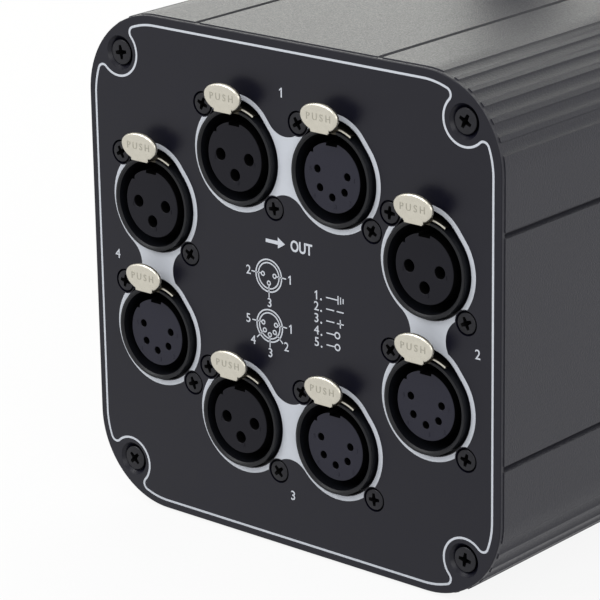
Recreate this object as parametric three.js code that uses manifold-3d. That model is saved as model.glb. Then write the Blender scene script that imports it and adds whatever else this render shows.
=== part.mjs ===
// Signal splitter for stage lighting: an extruded housing that hangs in a truss, with eight output
// sockets on its front panel and the inputs, through sockets and mains couplers on its rear panel.
// Millimetres, +Z up. The output panel faces -Y, and +X is to the right when it is looked at.
// The origin is the middle of the flat underside of the housing.
import * as THREE from 'three';
import { mergeVertices } from 'three/addons/utils/BufferGeometryUtils.js';
import Module from 'manifold-3d';

const wasm = await Module();
wasm.setup();

// Clearances and overruns shared by all pieces
const slideGap = 0.3; // round a piece that sits in a bore or a slot
const cutOver = 1; // how far a cutting tool runs past the face that it cuts

// Sockets: a round shell behind the panel, whose rim shows through a hole
const flangeRadius = 11.9;
const flangeThickness = 2;
const sleeveRadius = 10.55;
const femaleBore = 9.65;
const maleBore = 8.15;
const rimProud = 1.4;
const rimChamfer = 0.2;
const shellDepth = 20; // from the face of the panel to the back of the shell
const earOffset = 9.9; // the two fixing screws sit on a diagonal
const earRadius = 3.2;
const socketScrewRadius = 1.5;
const socketSinkRadius = 2.9;

// The panel's hole for a socket is round; for a female one it bulges at the top, to clear the latch
const holeRadius = 11.05;
const crownRadius = 8.85;
const crownRise = 3.55;

// Hood of a female shell, behind the panel, with the slot that the latch swings in
const hoodHalfWidth = 6.6;
const hoodSlotHalf = 5.8;
const hoodRoof = 1.05;
const hoodPlay = 1.5; // behind the pivot, for the spring
const hoodBackWall = 1.3;

// Release latch: curved plate on a pivot, neck, oval push tab and a tooth into the bore
const latchSheet = 0.5;
const latchGap = 0.3;
const latchHalfWidth = 5.1;
const latchProud = 1.8;
const tabWidth = 10.1;
const tabHeight = 6.5;
const tabSheet = 1;
const tabProud = 4.6;
const tabFlatWidth = 5.2; // the straight lower edge, where the neck joins
const tabDrop = 0.55; // lower edge of the tab, below the inside of the plate
const neckSlope = 0.8; // length over which the neck drops to the tab
const neckLap = 0.3; // the neck's share of the plate
const pivotDepth = 3;
const pivotRadius = 0.6;
const toothWidth = 3;
const toothFront = 0.5; // in front of the panel face
const toothLength = 1.4;
const toothReach = 0.35; // into the bore

// Inserts
const femaleInsertRadius = 7.4;
const femaleInsertProud = 1;
const insertBase = 4.5; // length of the wide base inside the shell
const insertTail = 3; // behind the shell, down to the board
const keyWidth = 2.4;
const keyDepth = 1.1;
const markDepth = 0.7;
const markTurn = 150; // round from the right
const threePinCircle = 4;
const threePinRadius = 1.2;
const threePinStep = 90; // round the circle
const fivePinCircle = 4.15;
const fivePinRadius = 0.75;
const fivePinStep = 52.5;
const contactPlay = 0.12; // a contact hole is this much wider than its pin
const contactDepth = 12;
const maleCupDepth = 12;
const malePinTip = 1; // behind the panel face

// Where the sockets sit: two flanges of a pair keep a gap, and where a column nests beside a row,
// the ear of the one keeps a gap to the flange of the other
const pairGap = 2.9;
const sideGap = 5.96;
const earGap = 0.42;
const pairPitch = 2 * flangeRadius + pairGap;
const sidePitch = 2 * flangeRadius + sideGap;
const earToFlange = flangeRadius + earRadius + earGap;
const columnStep = earOffset + Math.sqrt(earToFlange ** 2 - (sidePitch / 2 - earOffset) ** 2);
const columnOffset = pairPitch / 2 + columnStep;

// Housing: one fluted extrusion, sized round the sockets
const wall = 2.5;
const flangeToWall = 4.65;
const housingHalf = columnOffset + flangeRadius + flangeToWall + wall;
const housingLength = 216;
const housingCorner = 19;
const fluteDepth = 0.75;
const fluteLand = 0.66;
const fluteStep = 4.145; // along the corner arc
const fluteCount = 5;
const grooveOffset = 25;
const grooveWidth = 1.3;
const grooveDepth = 0.8;
const portInset = 9.75; // corner screws, from the outside of the housing
const portRadius = 2.2;
const portBoss = 4.7;
const guideReach = 2.5;
const guideThickness = 1.6;

// Panels
const panelThickness = 2;
const panelInset = 0.15; // smaller than the housing all round
const panelEdge = 0.6;
const cornerSinkRadius = 3.45;

// Corner screws
const screwShank = 1.95;
const screwHead = 2.65;
const screwSunk = 0.65; // head below the panel face
const screwLength = 14;

// Mains couplers of the rear panel
const couplerOffset = 31;
const couplerDrop = 25; // below the middle of the panel
const couplerFlangeWidth = 26;
const couplerFlangeHeight = 31;
const couplerFlangeCorner = 3;
const couplerFlange = 2.4;
const couplerBody = 11.7;
const couplerBore = 9.4;
const couplerCore = 6.4;
const couplerDepth = 20;
const couplerBack = 2;
const couplerCoreProud = 1;
const bladeCount = 3;
const bladeWidth = 3.6;
const bladeSheet = 1.2;
const bladeCircle = 3.4;
const bladeDepth = 9;
const couplerKeyWidth = 3.2;
const couplerKeyHeight = 1.5;
const couplerScrewX = 9.5;
const couplerScrewZ = 12;

// Fuse holder and its cap
const fuseBezel = 7.6;
const fuseBezelThickness = 2;
const fuseBody = 6.2;
const fuseBore = 4.5;
const fuseDepth = 25;
const fuseFloor = 2;
const fuseCapRadius = 5.6;
const fuseCapHeight = 6.5;
const fusePlugLength = 9;
const coinSlotWidth = 1.4;
const coinSlotDepth = 1.6;

// Status light pipe: a bar with five posts
const lightCount = 5;
const lightPitch = 8;
const lightRadius = 1.5;
const lightProud = 0.6;
const lightGap = 0.2;
const lightBarDepth = 4;
const lightBarThickness = 2;
const lightBarHeight = 4;
const lightBarOver = 3;
const lightRise = 1.5; // below the rear socket row's flanges

// Rear socket row
const rearRowRise = 22;

// Boards
const boardThickness = 1.6;
const boardEdgeGap = 0.6;
const boardEndGap = 1.4;
const outputBoardMargin = 3; // inside the corner bosses
const mainBoardDrop = 3;
const powerBoardDrop = 40;
const slotPlay = 0.5;
const chipLength = 9;
const chipWidth = 7;
const chipHeight = 3.4;
const chipCount = 5;
const chipPitch = 22;
const headerLength = 44;
const headerWidth = 5;
const headerHeight = 8;
const capacitorRadius = 9;
const capacitorHeight = 22;
const capacitorOffset = 32;
const transformerLength = 42;
const transformerWidth = 36;
const transformerHeight = 24;
const coreLength = 26;
const coreHeight = 4;
const transformerOffset = 22;

// Truss bracket on top of the housing, its bolts and its clamp hole
const strapWidth = 30;
const strapSheet = 3;
const strapHeight = 36;
const strapHalfSpan = 24;
const strapFoot = 17;
const strapBend = 5;
const clampHoleRadius = 5.5;
const safetyHoleRadius = 5;
const boltRadius = 2.5;
const boltPlay = 0.3;
const boltHeadRadius = 4.4;
const boltHeadHeight = 3.6;
const boltSocketRadius = 2;
const boltSocketDepth = 2;
const boltGrip = 6; // below the foot of the strap

// Facets round a full turn
const roundSides = 16;
const crownSides = 6; // along the bulge
const screwSides = 8;
const holeSides = 6;
const tabSides = 16;

// Places worked out from the sizes
const middleZ = housingHalf;
const frontY = -housingLength / 2 - panelThickness;
const panelHalf = housingHalf - panelInset;
const cavityHalf = housingHalf - wall;
const cornerCentre = housingHalf - housingCorner;
const portOffset = housingHalf - portInset;
const slotHeight = boardThickness + slotPlay;
const boardHalfWidth = cavityHalf - boardEdgeGap;
const insertEnd = shellDepth + insertTail;
const outputBoardBack = insertEnd + boardThickness;
const innerLength = housingLength + 2 * panelThickness - 2 * Math.max(outputBoardBack, fuseDepth);
const guideBoardLength = innerLength - 2 * boardEndGap;
const latchInner = sleeveRadius + latchGap;
const latchOuter = latchInner + latchSheet;
const pivotRise = latchInner + pivotRadius;
const tabLow = latchInner - tabDrop;
const hoodSlotTop = pivotRise + pivotRadius + latchGap;
const hoodBlockTop = hoodSlotTop + hoodRoof;
const hoodSlotBack = pivotDepth + pivotRadius + hoodPlay;
const hoodBlockBack = hoodSlotBack + hoodBackWall;
const topZ = 2 * housingHalf;

// Geometry helpers

function solid(geometry) {
  geometry.deleteAttribute('normal');
  geometry.deleteAttribute('uv');
  const merged = mergeVertices(geometry);
  const index = merged.index.array;
  const triVerts = [];
  for (let i = 0; i < index.length; i += 3) {
    const [a, b, c] = [index[i], index[i + 1], index[i + 2]];
    if (a !== b && b !== c && c !== a) triVerts.push(a, b, c);
  }
  return new wasm.Manifold(new wasm.Mesh({
    numProp: 3,
    vertProperties: new Float32Array(merged.attributes.position.array),
    triVerts: new Uint32Array(triVerts),
  }));
}

function geometryOf(body) {
  const mesh = body.getMesh();
  const geometry = new THREE.BufferGeometry();
  geometry.setAttribute('position', new THREE.BufferAttribute(new Float32Array(mesh.vertProperties), 3));
  geometry.setIndex(new THREE.BufferAttribute(new Uint32Array(mesh.triVerts), 1));
  geometry.computeVertexNormals();
  return geometry;
}

function arc(x, z, radius, startDeg, endDeg, steps) {
  const points = [];
  for (let i = 0; i <= steps; i += 1) {
    const angle = THREE.MathUtils.degToRad(startDeg + ((endDeg - startDeg) * i) / steps);
    points.push(new THREE.Vector2(x + radius * Math.cos(angle), z + radius * Math.sin(angle)));
  }
  return points;
}

function circle(x, z, radius, sides) {
  return arc(x, z, radius, 0, 360, sides).slice(0, -1);
}

function roundedRectangle(halfWidth, halfHeight, radius, steps) {
  const [x, z] = [halfWidth - radius, halfHeight - radius];
  return [
    ...arc(x, z, radius, 0, 90, steps),
    ...arc(-x, z, radius, 90, 180, steps),
    ...arc(-x, -z, radius, 180, 270, steps),
    ...arc(x, -z, radius, 270, 360, steps),
  ];
}

// An outline in X and Z, drawn out along Y between two depths
function drawn(points, from, to) {
  const options = { depth: to - from, bevelEnabled: false };
  const geometry = new THREE.ExtrudeGeometry(new THREE.Shape(points), options);
  geometry.rotateX(Math.PI / 2);
  geometry.translate(0, to, 0);
  return solid(geometry);
}

// A profile of [radius, depth] pairs, turned round the Y axis at x, z
function turned(profile, sides, x = 0, z = 0) {
  const points = profile.map(([radius, depth]) => new THREE.Vector2(radius, depth));
  const geometry = new THREE.LatheGeometry(points, sides);
  geometry.translate(x, 0, z);
  return solid(geometry);
}

function rod(radius, from, to, sides, x = 0, z = 0) {
  return turned([[0, from], [radius, from], [radius, to], [0, to]], sides, x, z);
}

// The same rod standing along Z
function upright(radius, low, high, sides, x, y) {
  const geometry = new THREE.CylinderGeometry(radius, radius, high - low, sides);
  geometry.rotateX(Math.PI / 2);
  geometry.translate(x, y, (low + high) / 2);
  return solid(geometry);
}

function box(left, right, front, back, low, high) {
  const geometry = new THREE.BoxGeometry(right - left, back - front, high - low);
  geometry.translate((left + right) / 2, (front + back) / 2, (low + high) / 2);
  return solid(geometry);
}

function joined(first, ...others) {
  return others.reduce((body, other) => body.add(other), first);
}

function cut(body, ...tools) {
  return tools.reduce((rest, tool) => rest.subtract(tool), body);
}

// Housing

function flutedCorner(quarter) {
  const points = [];
  const turn = quarter * 90;
  const centre = new THREE.Vector2(cornerCentre, cornerCentre);
  const toAngle = (length) => THREE.MathUtils.radToDeg(length / housingCorner);
  const hollow = toAngle(fluteStep - fluteLand) / 2;
  const stepsPerFlute = 4;
  const span = toAngle(fluteStep) * (fluteCount - 1);
  for (let flute = 0; flute < fluteCount; flute += 1) {
    const middle = 45 - span / 2 + toAngle(fluteStep) * flute;
    for (let i = 0; i <= stepsPerFlute; i += 1) {
      const share = i / stepsPerFlute;
      const angle = THREE.MathUtils.degToRad(middle - hollow + 2 * hollow * share);
      const radius = housingCorner - fluteDepth * Math.sin(Math.PI * share);
      points.push(new THREE.Vector2(Math.cos(angle), Math.sin(angle)).multiplyScalar(radius).add(centre));
    }
  }
  const zero = new THREE.Vector2();
  const start = arc(cornerCentre, cornerCentre, housingCorner, 0, 45 - span / 2 - hollow, 1);
  const end = arc(cornerCentre, cornerCentre, housingCorner, 45 + span / 2 + hollow, 90, 1);
  const corner = [...start.slice(0, -1), ...points, ...end.slice(1)];
  return corner.map((point) => point.rotateAround(zero, THREE.MathUtils.degToRad(turn)));
}

// The two grooves of the flat that follows a corner
function flatGrooves(quarter) {
  const points = [];
  for (const side of [1, -1]) {
    points.push(new THREE.Vector2(side * grooveOffset + grooveWidth / 2, housingHalf));
    points.push(new THREE.Vector2(side * grooveOffset, housingHalf - grooveDepth));
    points.push(new THREE.Vector2(side * grooveOffset - grooveWidth / 2, housingHalf));
  }
  const zero = new THREE.Vector2();
  return points.map((point) => point.rotateAround(zero, THREE.MathUtils.degToRad(quarter * 90)));
}

function corners(offset) {
  return [[1, 1], [-1, 1], [-1, -1], [1, -1]].map(([x, z]) => [x * offset, z * offset]);
}

function guideRibs(drop) {
  const low = -drop;
  const ribs = [];
  for (const side of [1, -1]) {
    const [inner, outer] = [side * (cavityHalf - guideReach), side * (cavityHalf + wall / 2)];
    const [left, right] = [Math.min(inner, outer), Math.max(inner, outer)];
    ribs.push([left, right, low - guideThickness, low]);
    ribs.push([left, right, low + slotHeight, low + slotHeight + guideThickness]);
  }
  return ribs;
}

function housing() {
  const ends = [-housingLength / 2, housingLength / 2];
  const over = [ends[0] - cutOver, ends[1] + cutOver];
  const outline = [0, 1, 2, 3].flatMap((quarter) => [...flutedCorner(quarter), ...flatGrooves(quarter)]);
  let cavity = drawn(roundedRectangle(cavityHalf, cavityHalf, housingCorner - wall, 4), ...over);
  const furthest = cutOver * 2;
  for (const [x, z] of corners(portOffset)) {
    cavity = cavity.subtract(rod(portBoss, over[0] - furthest, over[1] + furthest, screwSides, x, z));
  }
  for (const [left, right, low, high] of [...guideRibs(mainBoardDrop), ...guideRibs(powerBoardDrop)]) {
    cavity = cavity.subtract(box(left, right, over[0] - furthest, over[1] + furthest, low, high));
  }
  let body = drawn(outline, ...ends).subtract(cavity);
  for (const [x, z] of corners(portOffset)) {
    body = body.subtract(rod(portRadius, ...over, screwSides, x, z));
  }
  for (const side of [1, -1]) {
    const hole = boltRadius + boltPlay;
    const low = cavityHalf - cutOver;
    body = body.subtract(upright(hole, low, housingHalf + cutOver, screwSides, side * boltOffset(), 0));
  }
  return body;
}

// Panels

function sinkProfile(sinkRadius, holeRadius) {
  const straight = sinkRadius - holeRadius;
  return [
    [0, -cutOver],
    [sinkRadius + cutOver, -cutOver],
    [holeRadius, straight],
    [holeRadius, panelThickness + cutOver],
    [0, panelThickness + cutOver],
  ];
}

function panelBlank() {
  const bevel = panelEdge;
  const options = {
    depth: 2 * (panelThickness - bevel),
    bevelEnabled: true,
    bevelThickness: bevel,
    bevelSize: bevel,
    bevelOffset: -bevel,
    bevelSegments: 2,
  };
  const radius = housingCorner - panelInset;
  const points = roundedRectangle(panelHalf, panelHalf, radius, 5);
  const geometry = new THREE.ExtrudeGeometry(new THREE.Shape(points), options);
  geometry.rotateX(Math.PI / 2);
  geometry.translate(0, 2 * panelThickness - bevel, 0);
  const wide = panelHalf + cutOver;
  const back = box(-wide, wide, panelThickness, 3 * panelThickness, -wide, wide);
  let blank = solid(geometry).subtract(back);
  for (const [x, z] of corners(portOffset)) {
    blank = blank.subtract(turned(sinkProfile(cornerSinkRadius, portRadius), screwSides, x, z));
  }
  return blank;
}

function ears() {
  return [[-earOffset, earOffset], [earOffset, -earOffset]];
}

// The bulge at the top of the hole, between its two tangents to the round part
function crownOutline() {
  const meet = THREE.MathUtils.radToDeg(Math.asin((holeRadius - crownRadius) / crownRise));
  const crown = arc(0, crownRise, crownRadius, meet, 180 - meet, crownSides);
  const [left, right] = [180 - meet, meet].map((angle) => arc(0, 0, holeRadius, angle, angle, 1)[0]);
  return [...crown, left, right];
}

// The hole for a socket and its two sunk screw holes
function socketHole(x, z, female) {
  const [from, to] = [-cutOver, panelThickness + cutOver];
  let tool = rod(holeRadius, from, to, roundSides, x, z);
  for (const [dx, dz] of ears()) {
    tool = tool.add(turned(sinkProfile(socketSinkRadius, socketScrewRadius), holeSides, x + dx, z + dz));
  }
  return female ? tool.add(drawn(crownOutline(), from, to).translate([x, 0, z])) : tool;
}

function frontPanel(places) {
  return cut(panelBlank(), ...places.map(({ x, z }) => socketHole(x, z, true)));
}

function lightPlaces() {
  const middle = (lightCount - 1) / 2;
  const z = rearRowRise - flangeRadius - lightRise - lightBarHeight / 2;
  return Array.from({ length: lightCount }, (_, i) => [(i - middle) * lightPitch, z]);
}

function rearPanel(places) {
  const [from, to] = [-cutOver, panelThickness + cutOver];
  const tools = places.map(({ x, z, female }) => socketHole(x, z, female));
  for (const side of [1, -1]) {
    const x = side * couplerOffset;
    tools.push(rod(couplerBody + slideGap, from, to, roundSides, x, -couplerDrop));
    for (const end of [1, -1]) {
      const [screwX, screwZ] = [x + end * couplerScrewX, -couplerDrop - end * couplerScrewZ];
      tools.push(rod(socketScrewRadius, from, to, holeSides, screwX, screwZ));
    }
  }
  tools.push(rod(fuseBody + slideGap, from, to, roundSides, 0, -couplerDrop));
  for (const [x, z] of lightPlaces()) {
    tools.push(rod(lightRadius + lightGap, from, to, holeSides, x, z));
  }
  return cut(panelBlank(), ...tools);
}

function cornerScrew() {
  const cone = screwSunk + screwHead - screwShank;
  return turned([
    [0, screwSunk],
    [screwHead, screwSunk],
    [screwShank, cone],
    [screwShank, screwLength - screwShank / 2],
    [screwShank / 2, screwLength],
    [0, screwLength],
  ], screwSides);
}

// Socket shells

// Flange behind the panel: a disc with an ear round each fixing screw
function flange() {
  const meet = THREE.MathUtils.radToDeg(Math.asin(earRadius / flangeRadius));
  const outline = [
    ...arc(0, 0, flangeRadius, -45 + meet, 135 - meet, 5),
    ...arc(-earOffset, earOffset, earRadius, 45, 225, 3),
    ...arc(0, 0, flangeRadius, 135 + meet, 315 - meet, 5),
    ...arc(earOffset, -earOffset, earRadius, 225, 405, 3),
  ];
  return drawn(outline, panelThickness, panelThickness + flangeThickness);
}

function sleeve(bore) {
  return turned([
    [bore, -rimProud],
    [sleeveRadius - rimChamfer, -rimProud],
    [sleeveRadius, rimChamfer - rimProud],
    [sleeveRadius, shellDepth],
    [bore, shellDepth],
    [bore, -rimProud],
  ], roundSides);
}

function maleShell() {
  const over = panelThickness + flangeThickness + cutOver;
  const ring = flange().subtract(rod((sleeveRadius + maleBore) / 2, -cutOver, over, roundSides));
  return joined(sleeve(maleBore), ring);
}

function femaleShell() {
  const inner = (sleeveRadius + femaleBore) / 2;
  const back = hoodBlockBack + cutOver;
  const clear = rod(inner, -cutOver, back, roundSides);
  const hood = box(-hoodHalfWidth, hoodHalfWidth, panelThickness, hoodBlockBack, 0, hoodBlockTop);
  const outside = joined(flange(), hood).subtract(clear);
  const open = box(-hoodSlotHalf, hoodSlotHalf, -cutOver, hoodSlotBack, 0, hoodSlotTop);
  const slot = open.subtract(rod(sleeveRadius, -2 * cutOver, back, roundSides));
  const tooth = toothWidth / 2 + slideGap;
  const toothWay = box(-tooth, tooth, -rimProud - cutOver, toothLength + slideGap, 0, hoodSlotTop);
  const core = rod(femaleBore - slideGap, -rimProud - 2 * cutOver, shellDepth, roundSides);
  return cut(joined(outside.subtract(slot), sleeve(femaleBore)), toothWay.subtract(core));
}

// Release latch

function latchPlate() {
  const edge = THREE.MathUtils.radToDeg(Math.asin(latchHalfWidth / latchOuter));
  const steps = 4;
  const outline = [
    ...arc(0, 0, latchOuter, 90 - edge, 90 + edge, steps),
    ...arc(0, 0, latchInner, 90 + edge, 90 - edge, steps),
  ];
  return drawn(outline, -latchProud, pivotDepth);
}

// The oval tab, with a straight lower edge
function tabOutline() {
  const low = tabLow;
  const [rx, rz] = [tabWidth / 2, tabHeight / 2];
  const points = circle(0, 0, 1, tabSides).map((point) => {
    return new THREE.Vector2(point.x * rx, low + rz + point.y * rz);
  });
  const kept = points.filter((point) => point.y > low + rz || Math.abs(point.x) > tabFlatWidth / 2);
  const firstLow = kept.findIndex((point, i) => i > 0 && point.x > 0 && kept[i - 1].x <= 0);
  const left = new THREE.Vector2(-tabFlatWidth / 2, low);
  const right = new THREE.Vector2(tabFlatWidth / 2, low);
  if (firstLow < 0) return [...kept, left, right];
  return [...kept.slice(0, firstLow), left, right, ...kept.slice(firstLow)];
}

// Side view of the neck, drawn across the latch: it drops in front of the rim, down to the tab
function neck() {
  const [start, foot] = [neckLap - latchProud, -latchProud - neckSlope];
  const outline = [
    new THREE.Vector2(start, latchInner),
    new THREE.Vector2(start, latchOuter),
    new THREE.Vector2(foot, tabLow + latchSheet),
    new THREE.Vector2(-tabProud, tabLow + latchSheet),
    new THREE.Vector2(-tabProud, tabLow),
    new THREE.Vector2(foot, tabLow),
    new THREE.Vector2(-latchProud, latchInner),
  ];
  return drawn(outline, -tabFlatWidth / 2, tabFlatWidth / 2).rotate([0, 0, 90]);
}

function latch() {
  const tab = drawn(tabOutline(), -tabProud, tabSheet - tabProud);
  const barrel = new THREE.CylinderGeometry(pivotRadius, pivotRadius, 2 * latchHalfWidth, holeSides);
  barrel.rotateZ(Math.PI / 2);
  barrel.translate(0, pivotDepth, pivotRise);
  const [front, back] = [-toothFront, toothLength - toothFront];
  const reach = femaleBore - toothReach;
  const tooth = box(-toothWidth / 2, toothWidth / 2, front, back, reach, latchOuter - latchSheet / 2);
  return joined(latchPlate(), neck(), tab, solid(barrel), tooth);
}

// Inserts: contacts sit on a circle, with one at the bottom

function contacts(count) {
  const three = count === 3;
  const step = three ? threePinStep : fivePinStep;
  const ring = three ? threePinCircle : fivePinCircle;
  const radius = three ? threePinRadius : fivePinRadius;
  const middle = (count - 1) / 2;
  return Array.from({ length: count }, (_, i) => {
    const angle = THREE.MathUtils.degToRad(-90 + (i - middle) * step);
    return { x: ring * Math.cos(angle), z: ring * Math.sin(angle), radius };
  });
}

function femaleInsert(count) {
  const front = -femaleInsertProud;
  const keyBack = shellDepth - insertBase;
  let body = turned([
    [0, front],
    [femaleInsertRadius, front],
    [femaleInsertRadius, keyBack],
    [femaleBore - slideGap, keyBack],
    [femaleBore - slideGap, insertEnd],
    [0, insertEnd],
  ], roundSides);
  for (const { x, z, radius } of contacts(count)) {
    body = body.subtract(rod(radius + contactPlay, front - cutOver, front + contactDepth, holeSides, x, z));
  }
  const [half, edge] = [keyWidth / 2, femaleInsertRadius + cutOver];
  body = body.subtract(box(-half, half, front - cutOver, keyBack, femaleInsertRadius - keyDepth, edge));
  const mark = [
    new THREE.Vector2(femaleInsertRadius - markDepth, 0),
    new THREE.Vector2(femaleInsertRadius + markDepth, -2 * markDepth),
    new THREE.Vector2(femaleInsertRadius + markDepth, 2 * markDepth),
  ];
  const turn = THREE.MathUtils.degToRad(markTurn);
  const notch = mark.map((point) => point.rotateAround(new THREE.Vector2(), turn));
  return body.subtract(drawn(notch, front - cutOver, keyBack));
}

function maleInsert(count) {
  let body = rod(maleBore - slideGap, maleCupDepth, insertEnd, roundSides);
  for (const { x, z, radius } of contacts(count)) {
    const pin = turned([
      [0, malePinTip],
      [radius / 2, malePinTip],
      [radius, malePinTip + radius],
      [radius, maleCupDepth + cutOver],
      [0, maleCupDepth + cutOver],
    ], holeSides, x, z);
    body = body.add(pin);
  }
  return body;
}

// Mains couplers: a flanged cup on the outside of the panel and a core with three blade slots

function couplerShell() {
  const outline = roundedRectangle(couplerFlangeWidth / 2, couplerFlangeHeight / 2, couplerFlangeCorner, 3);
  const plate = drawn(outline, -couplerFlange, 0);
  const cup = rod(couplerBody, -couplerFlange, couplerDepth, roundSides);
  const hollow = rod(couplerBore, -couplerFlange - cutOver, couplerDepth - couplerBack, roundSides);
  const keyHalf = couplerKeyWidth / 2;
  const keyTop = couplerBore - couplerKeyHeight;
  const key = box(-keyHalf, keyHalf, 0, couplerDepth - couplerBack, keyTop, couplerBore + slideGap);
  const [from, to] = [-couplerFlange - cutOver, cutOver];
  const holes = [1, -1].map((end) => {
    return rod(socketScrewRadius, from, to, holeSides, end * couplerScrewX, -end * couplerScrewZ);
  });
  return cut(joined(plate, cup), hollow, ...holes).add(key);
}

function couplerCorePiece() {
  const front = -couplerCoreProud;
  let body = rod(couplerCore, front, couplerDepth - couplerBack, roundSides);
  for (let i = 0; i < bladeCount; i += 1) {
    const slot = box(
      -bladeWidth / 2, bladeWidth / 2,
      front - cutOver, front + bladeDepth,
      bladeCircle - bladeSheet / 2, bladeCircle + bladeSheet / 2,
    );
    body = body.subtract(slot.rotate([0, (i * 360) / bladeCount, 0]));
  }
  return body;
}

// Fuse holder

function fuseHolder() {
  return turned([
    [fuseBore, -fuseBezelThickness],
    [fuseBezel, -fuseBezelThickness],
    [fuseBezel, 0],
    [fuseBody, 0],
    [fuseBody, fuseDepth],
    [0, fuseDepth],
    [0, fuseDepth - fuseFloor],
    [fuseBore, fuseDepth - fuseFloor],
    [fuseBore, -fuseBezelThickness],
  ], roundSides);
}

function fuseCap() {
  const back = -fuseBezelThickness - slideGap;
  const front = back - fuseCapHeight;
  const plug = fuseBore - slideGap;
  const body = turned([
    [0, front],
    [fuseCapRadius - coinSlotWidth / 2, front],
    [fuseCapRadius, front + coinSlotWidth],
    [fuseCapRadius, back],
    [plug, back],
    [plug, back + fusePlugLength],
    [0, back + fusePlugLength],
  ], roundSides);
  const half = coinSlotWidth / 2;
  const wide = fuseCapRadius + cutOver;
  return body.subtract(box(-wide, wide, front - cutOver, front + coinSlotDepth, -half, half));
}

function lightPipe() {
  const places = lightPlaces();
  const z = places[0][1];
  const half = ((lightCount - 1) * lightPitch) / 2 + lightBarOver;
  const [low, high] = [z - lightBarHeight / 2, z + lightBarHeight / 2];
  const bar = box(-half, half, lightBarDepth, lightBarDepth + lightBarThickness, low, high);
  const back = lightBarDepth + lightBarThickness / 2;
  return joined(bar, ...places.map(([x]) => rod(lightRadius, -lightProud, back, holeSides, x, z)));
}

// Boards

function outputBoard() {
  const halfWidth = cavityHalf - outputBoardMargin;
  const halfHeight = portOffset - portBoss - slideGap;
  return box(-halfWidth, halfWidth, insertEnd, outputBoardBack, -halfHeight, halfHeight);
}

// A board in a pair of guide slots, lying on the lower ribs
function guideBoard() {
  const half = guideBoardLength / 2;
  return box(-boardHalfWidth, boardHalfWidth, -half, half, 0, boardThickness);
}

function mainBoard() {
  let board = guideBoard();
  const sunk = boardThickness / 2;
  const middle = (chipCount - 1) / 2;
  for (let i = 0; i < chipCount; i += 1) {
    const y = (i - middle) * chipPitch;
    for (const side of [1, -1]) {
      const x = side * chipPitch;
      const top = boardThickness + chipHeight;
      const [left, right] = [x - chipWidth / 2, x + chipWidth / 2];
      board = board.add(box(left, right, y - chipLength / 2, y + chipLength / 2, sunk, top));
    }
  }
  for (const side of [1, -1]) {
    const edge = side * (guideBoardLength / 2 - headerWidth);
    const header = box(
      -headerLength / 2, headerLength / 2,
      edge - headerWidth / 2, edge + headerWidth / 2,
      sunk, boardThickness + headerHeight,
    );
    board = board.add(header);
  }
  return board;
}

function powerBoard() {
  const sunk = boardThickness / 2;
  const top = boardThickness + capacitorHeight;
  const cans = [1, -1].map((side) => {
    return upright(capacitorRadius, sunk, top, screwSides, side * capacitorRadius * 2, -capacitorOffset);
  });
  return joined(guideBoard(), ...cans);
}

// Bobbin between the two cheeks of an iron core
function transformer() {
  const low = boardThickness;
  const high = low + transformerHeight;
  const [halfX, halfY] = [transformerWidth / 2, transformerLength / 2];
  const winding = box(
    -halfX, halfX,
    transformerOffset - halfY, transformerOffset + halfY,
    low, high,
  );
  const core = box(
    -halfX - coreHeight, halfX + coreHeight,
    transformerOffset - coreLength / 2, transformerOffset + coreLength / 2,
    low, high + coreHeight,
  );
  return joined(winding, core);
}

// Truss bracket

function boltOffset() {
  return strapHalfSpan + strapFoot / 2;
}

function strap() {
  const [span, sheet, bend] = [strapHalfSpan, strapSheet, strapBend];
  const steps = 3;
  const inner = span - sheet;
  const outerTop = strapHeight - bend;
  const footEnd = span + strapFoot;
  const outline = [
    new THREE.Vector2(footEnd, 0),
    new THREE.Vector2(footEnd, sheet),
    ...arc(span + bend - sheet, bend, bend - sheet, 270, 180, steps),
    ...arc(span - bend, outerTop, bend, 0, 90, steps),
    ...arc(-span + bend, outerTop, bend, 90, 180, steps),
    ...arc(-span - bend + sheet, bend, bend - sheet, 0, -90, steps),
    new THREE.Vector2(-footEnd, sheet),
    new THREE.Vector2(-footEnd, 0),
    ...arc(-inner - bend, bend, bend, 270, 360, steps),
    ...arc(-inner + bend - sheet, outerTop, bend - sheet, 180, 90, steps),
    ...arc(inner - bend + sheet, outerTop, bend - sheet, 90, 0, steps),
    ...arc(inner + bend, bend, bend, 180, 270, steps),
  ];
  const [low, high] = [strapHeight - 2 * sheet, strapHeight + cutOver];
  const clampHole = upright(clampHoleRadius, low, high, roundSides, 0, 0);
  let body = drawn(outline, -strapWidth / 2, strapWidth / 2).subtract(clampHole);
  for (const side of [1, -1]) {
    const hole = boltRadius + boltPlay;
    body = body.subtract(upright(hole, -cutOver, 2 * sheet, screwSides, side * boltOffset(), 0));
  }
  const safetyHole = new THREE.CylinderGeometry(safetyHoleRadius, safetyHoleRadius, 3 * sheet, screwSides);
  safetyHole.rotateZ(Math.PI / 2);
  safetyHole.translate(span, 0, strapHeight / 2);
  return body.subtract(solid(safetyHole));
}

function strapBolt() {
  const head = upright(boltHeadRadius, strapSheet, strapSheet + boltHeadHeight, screwSides, 0, 0);
  const shank = upright(boltRadius, -boltGrip, strapSheet + boltHeadHeight / 2, screwSides, 0, 0);
  const top = strapSheet + boltHeadHeight;
  const recess = upright(boltSocketRadius, top - boltSocketDepth, top + cutOver, 6, 0, 0);
  return joined(head, shank).subtract(recess);
}

// Assembly

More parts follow.
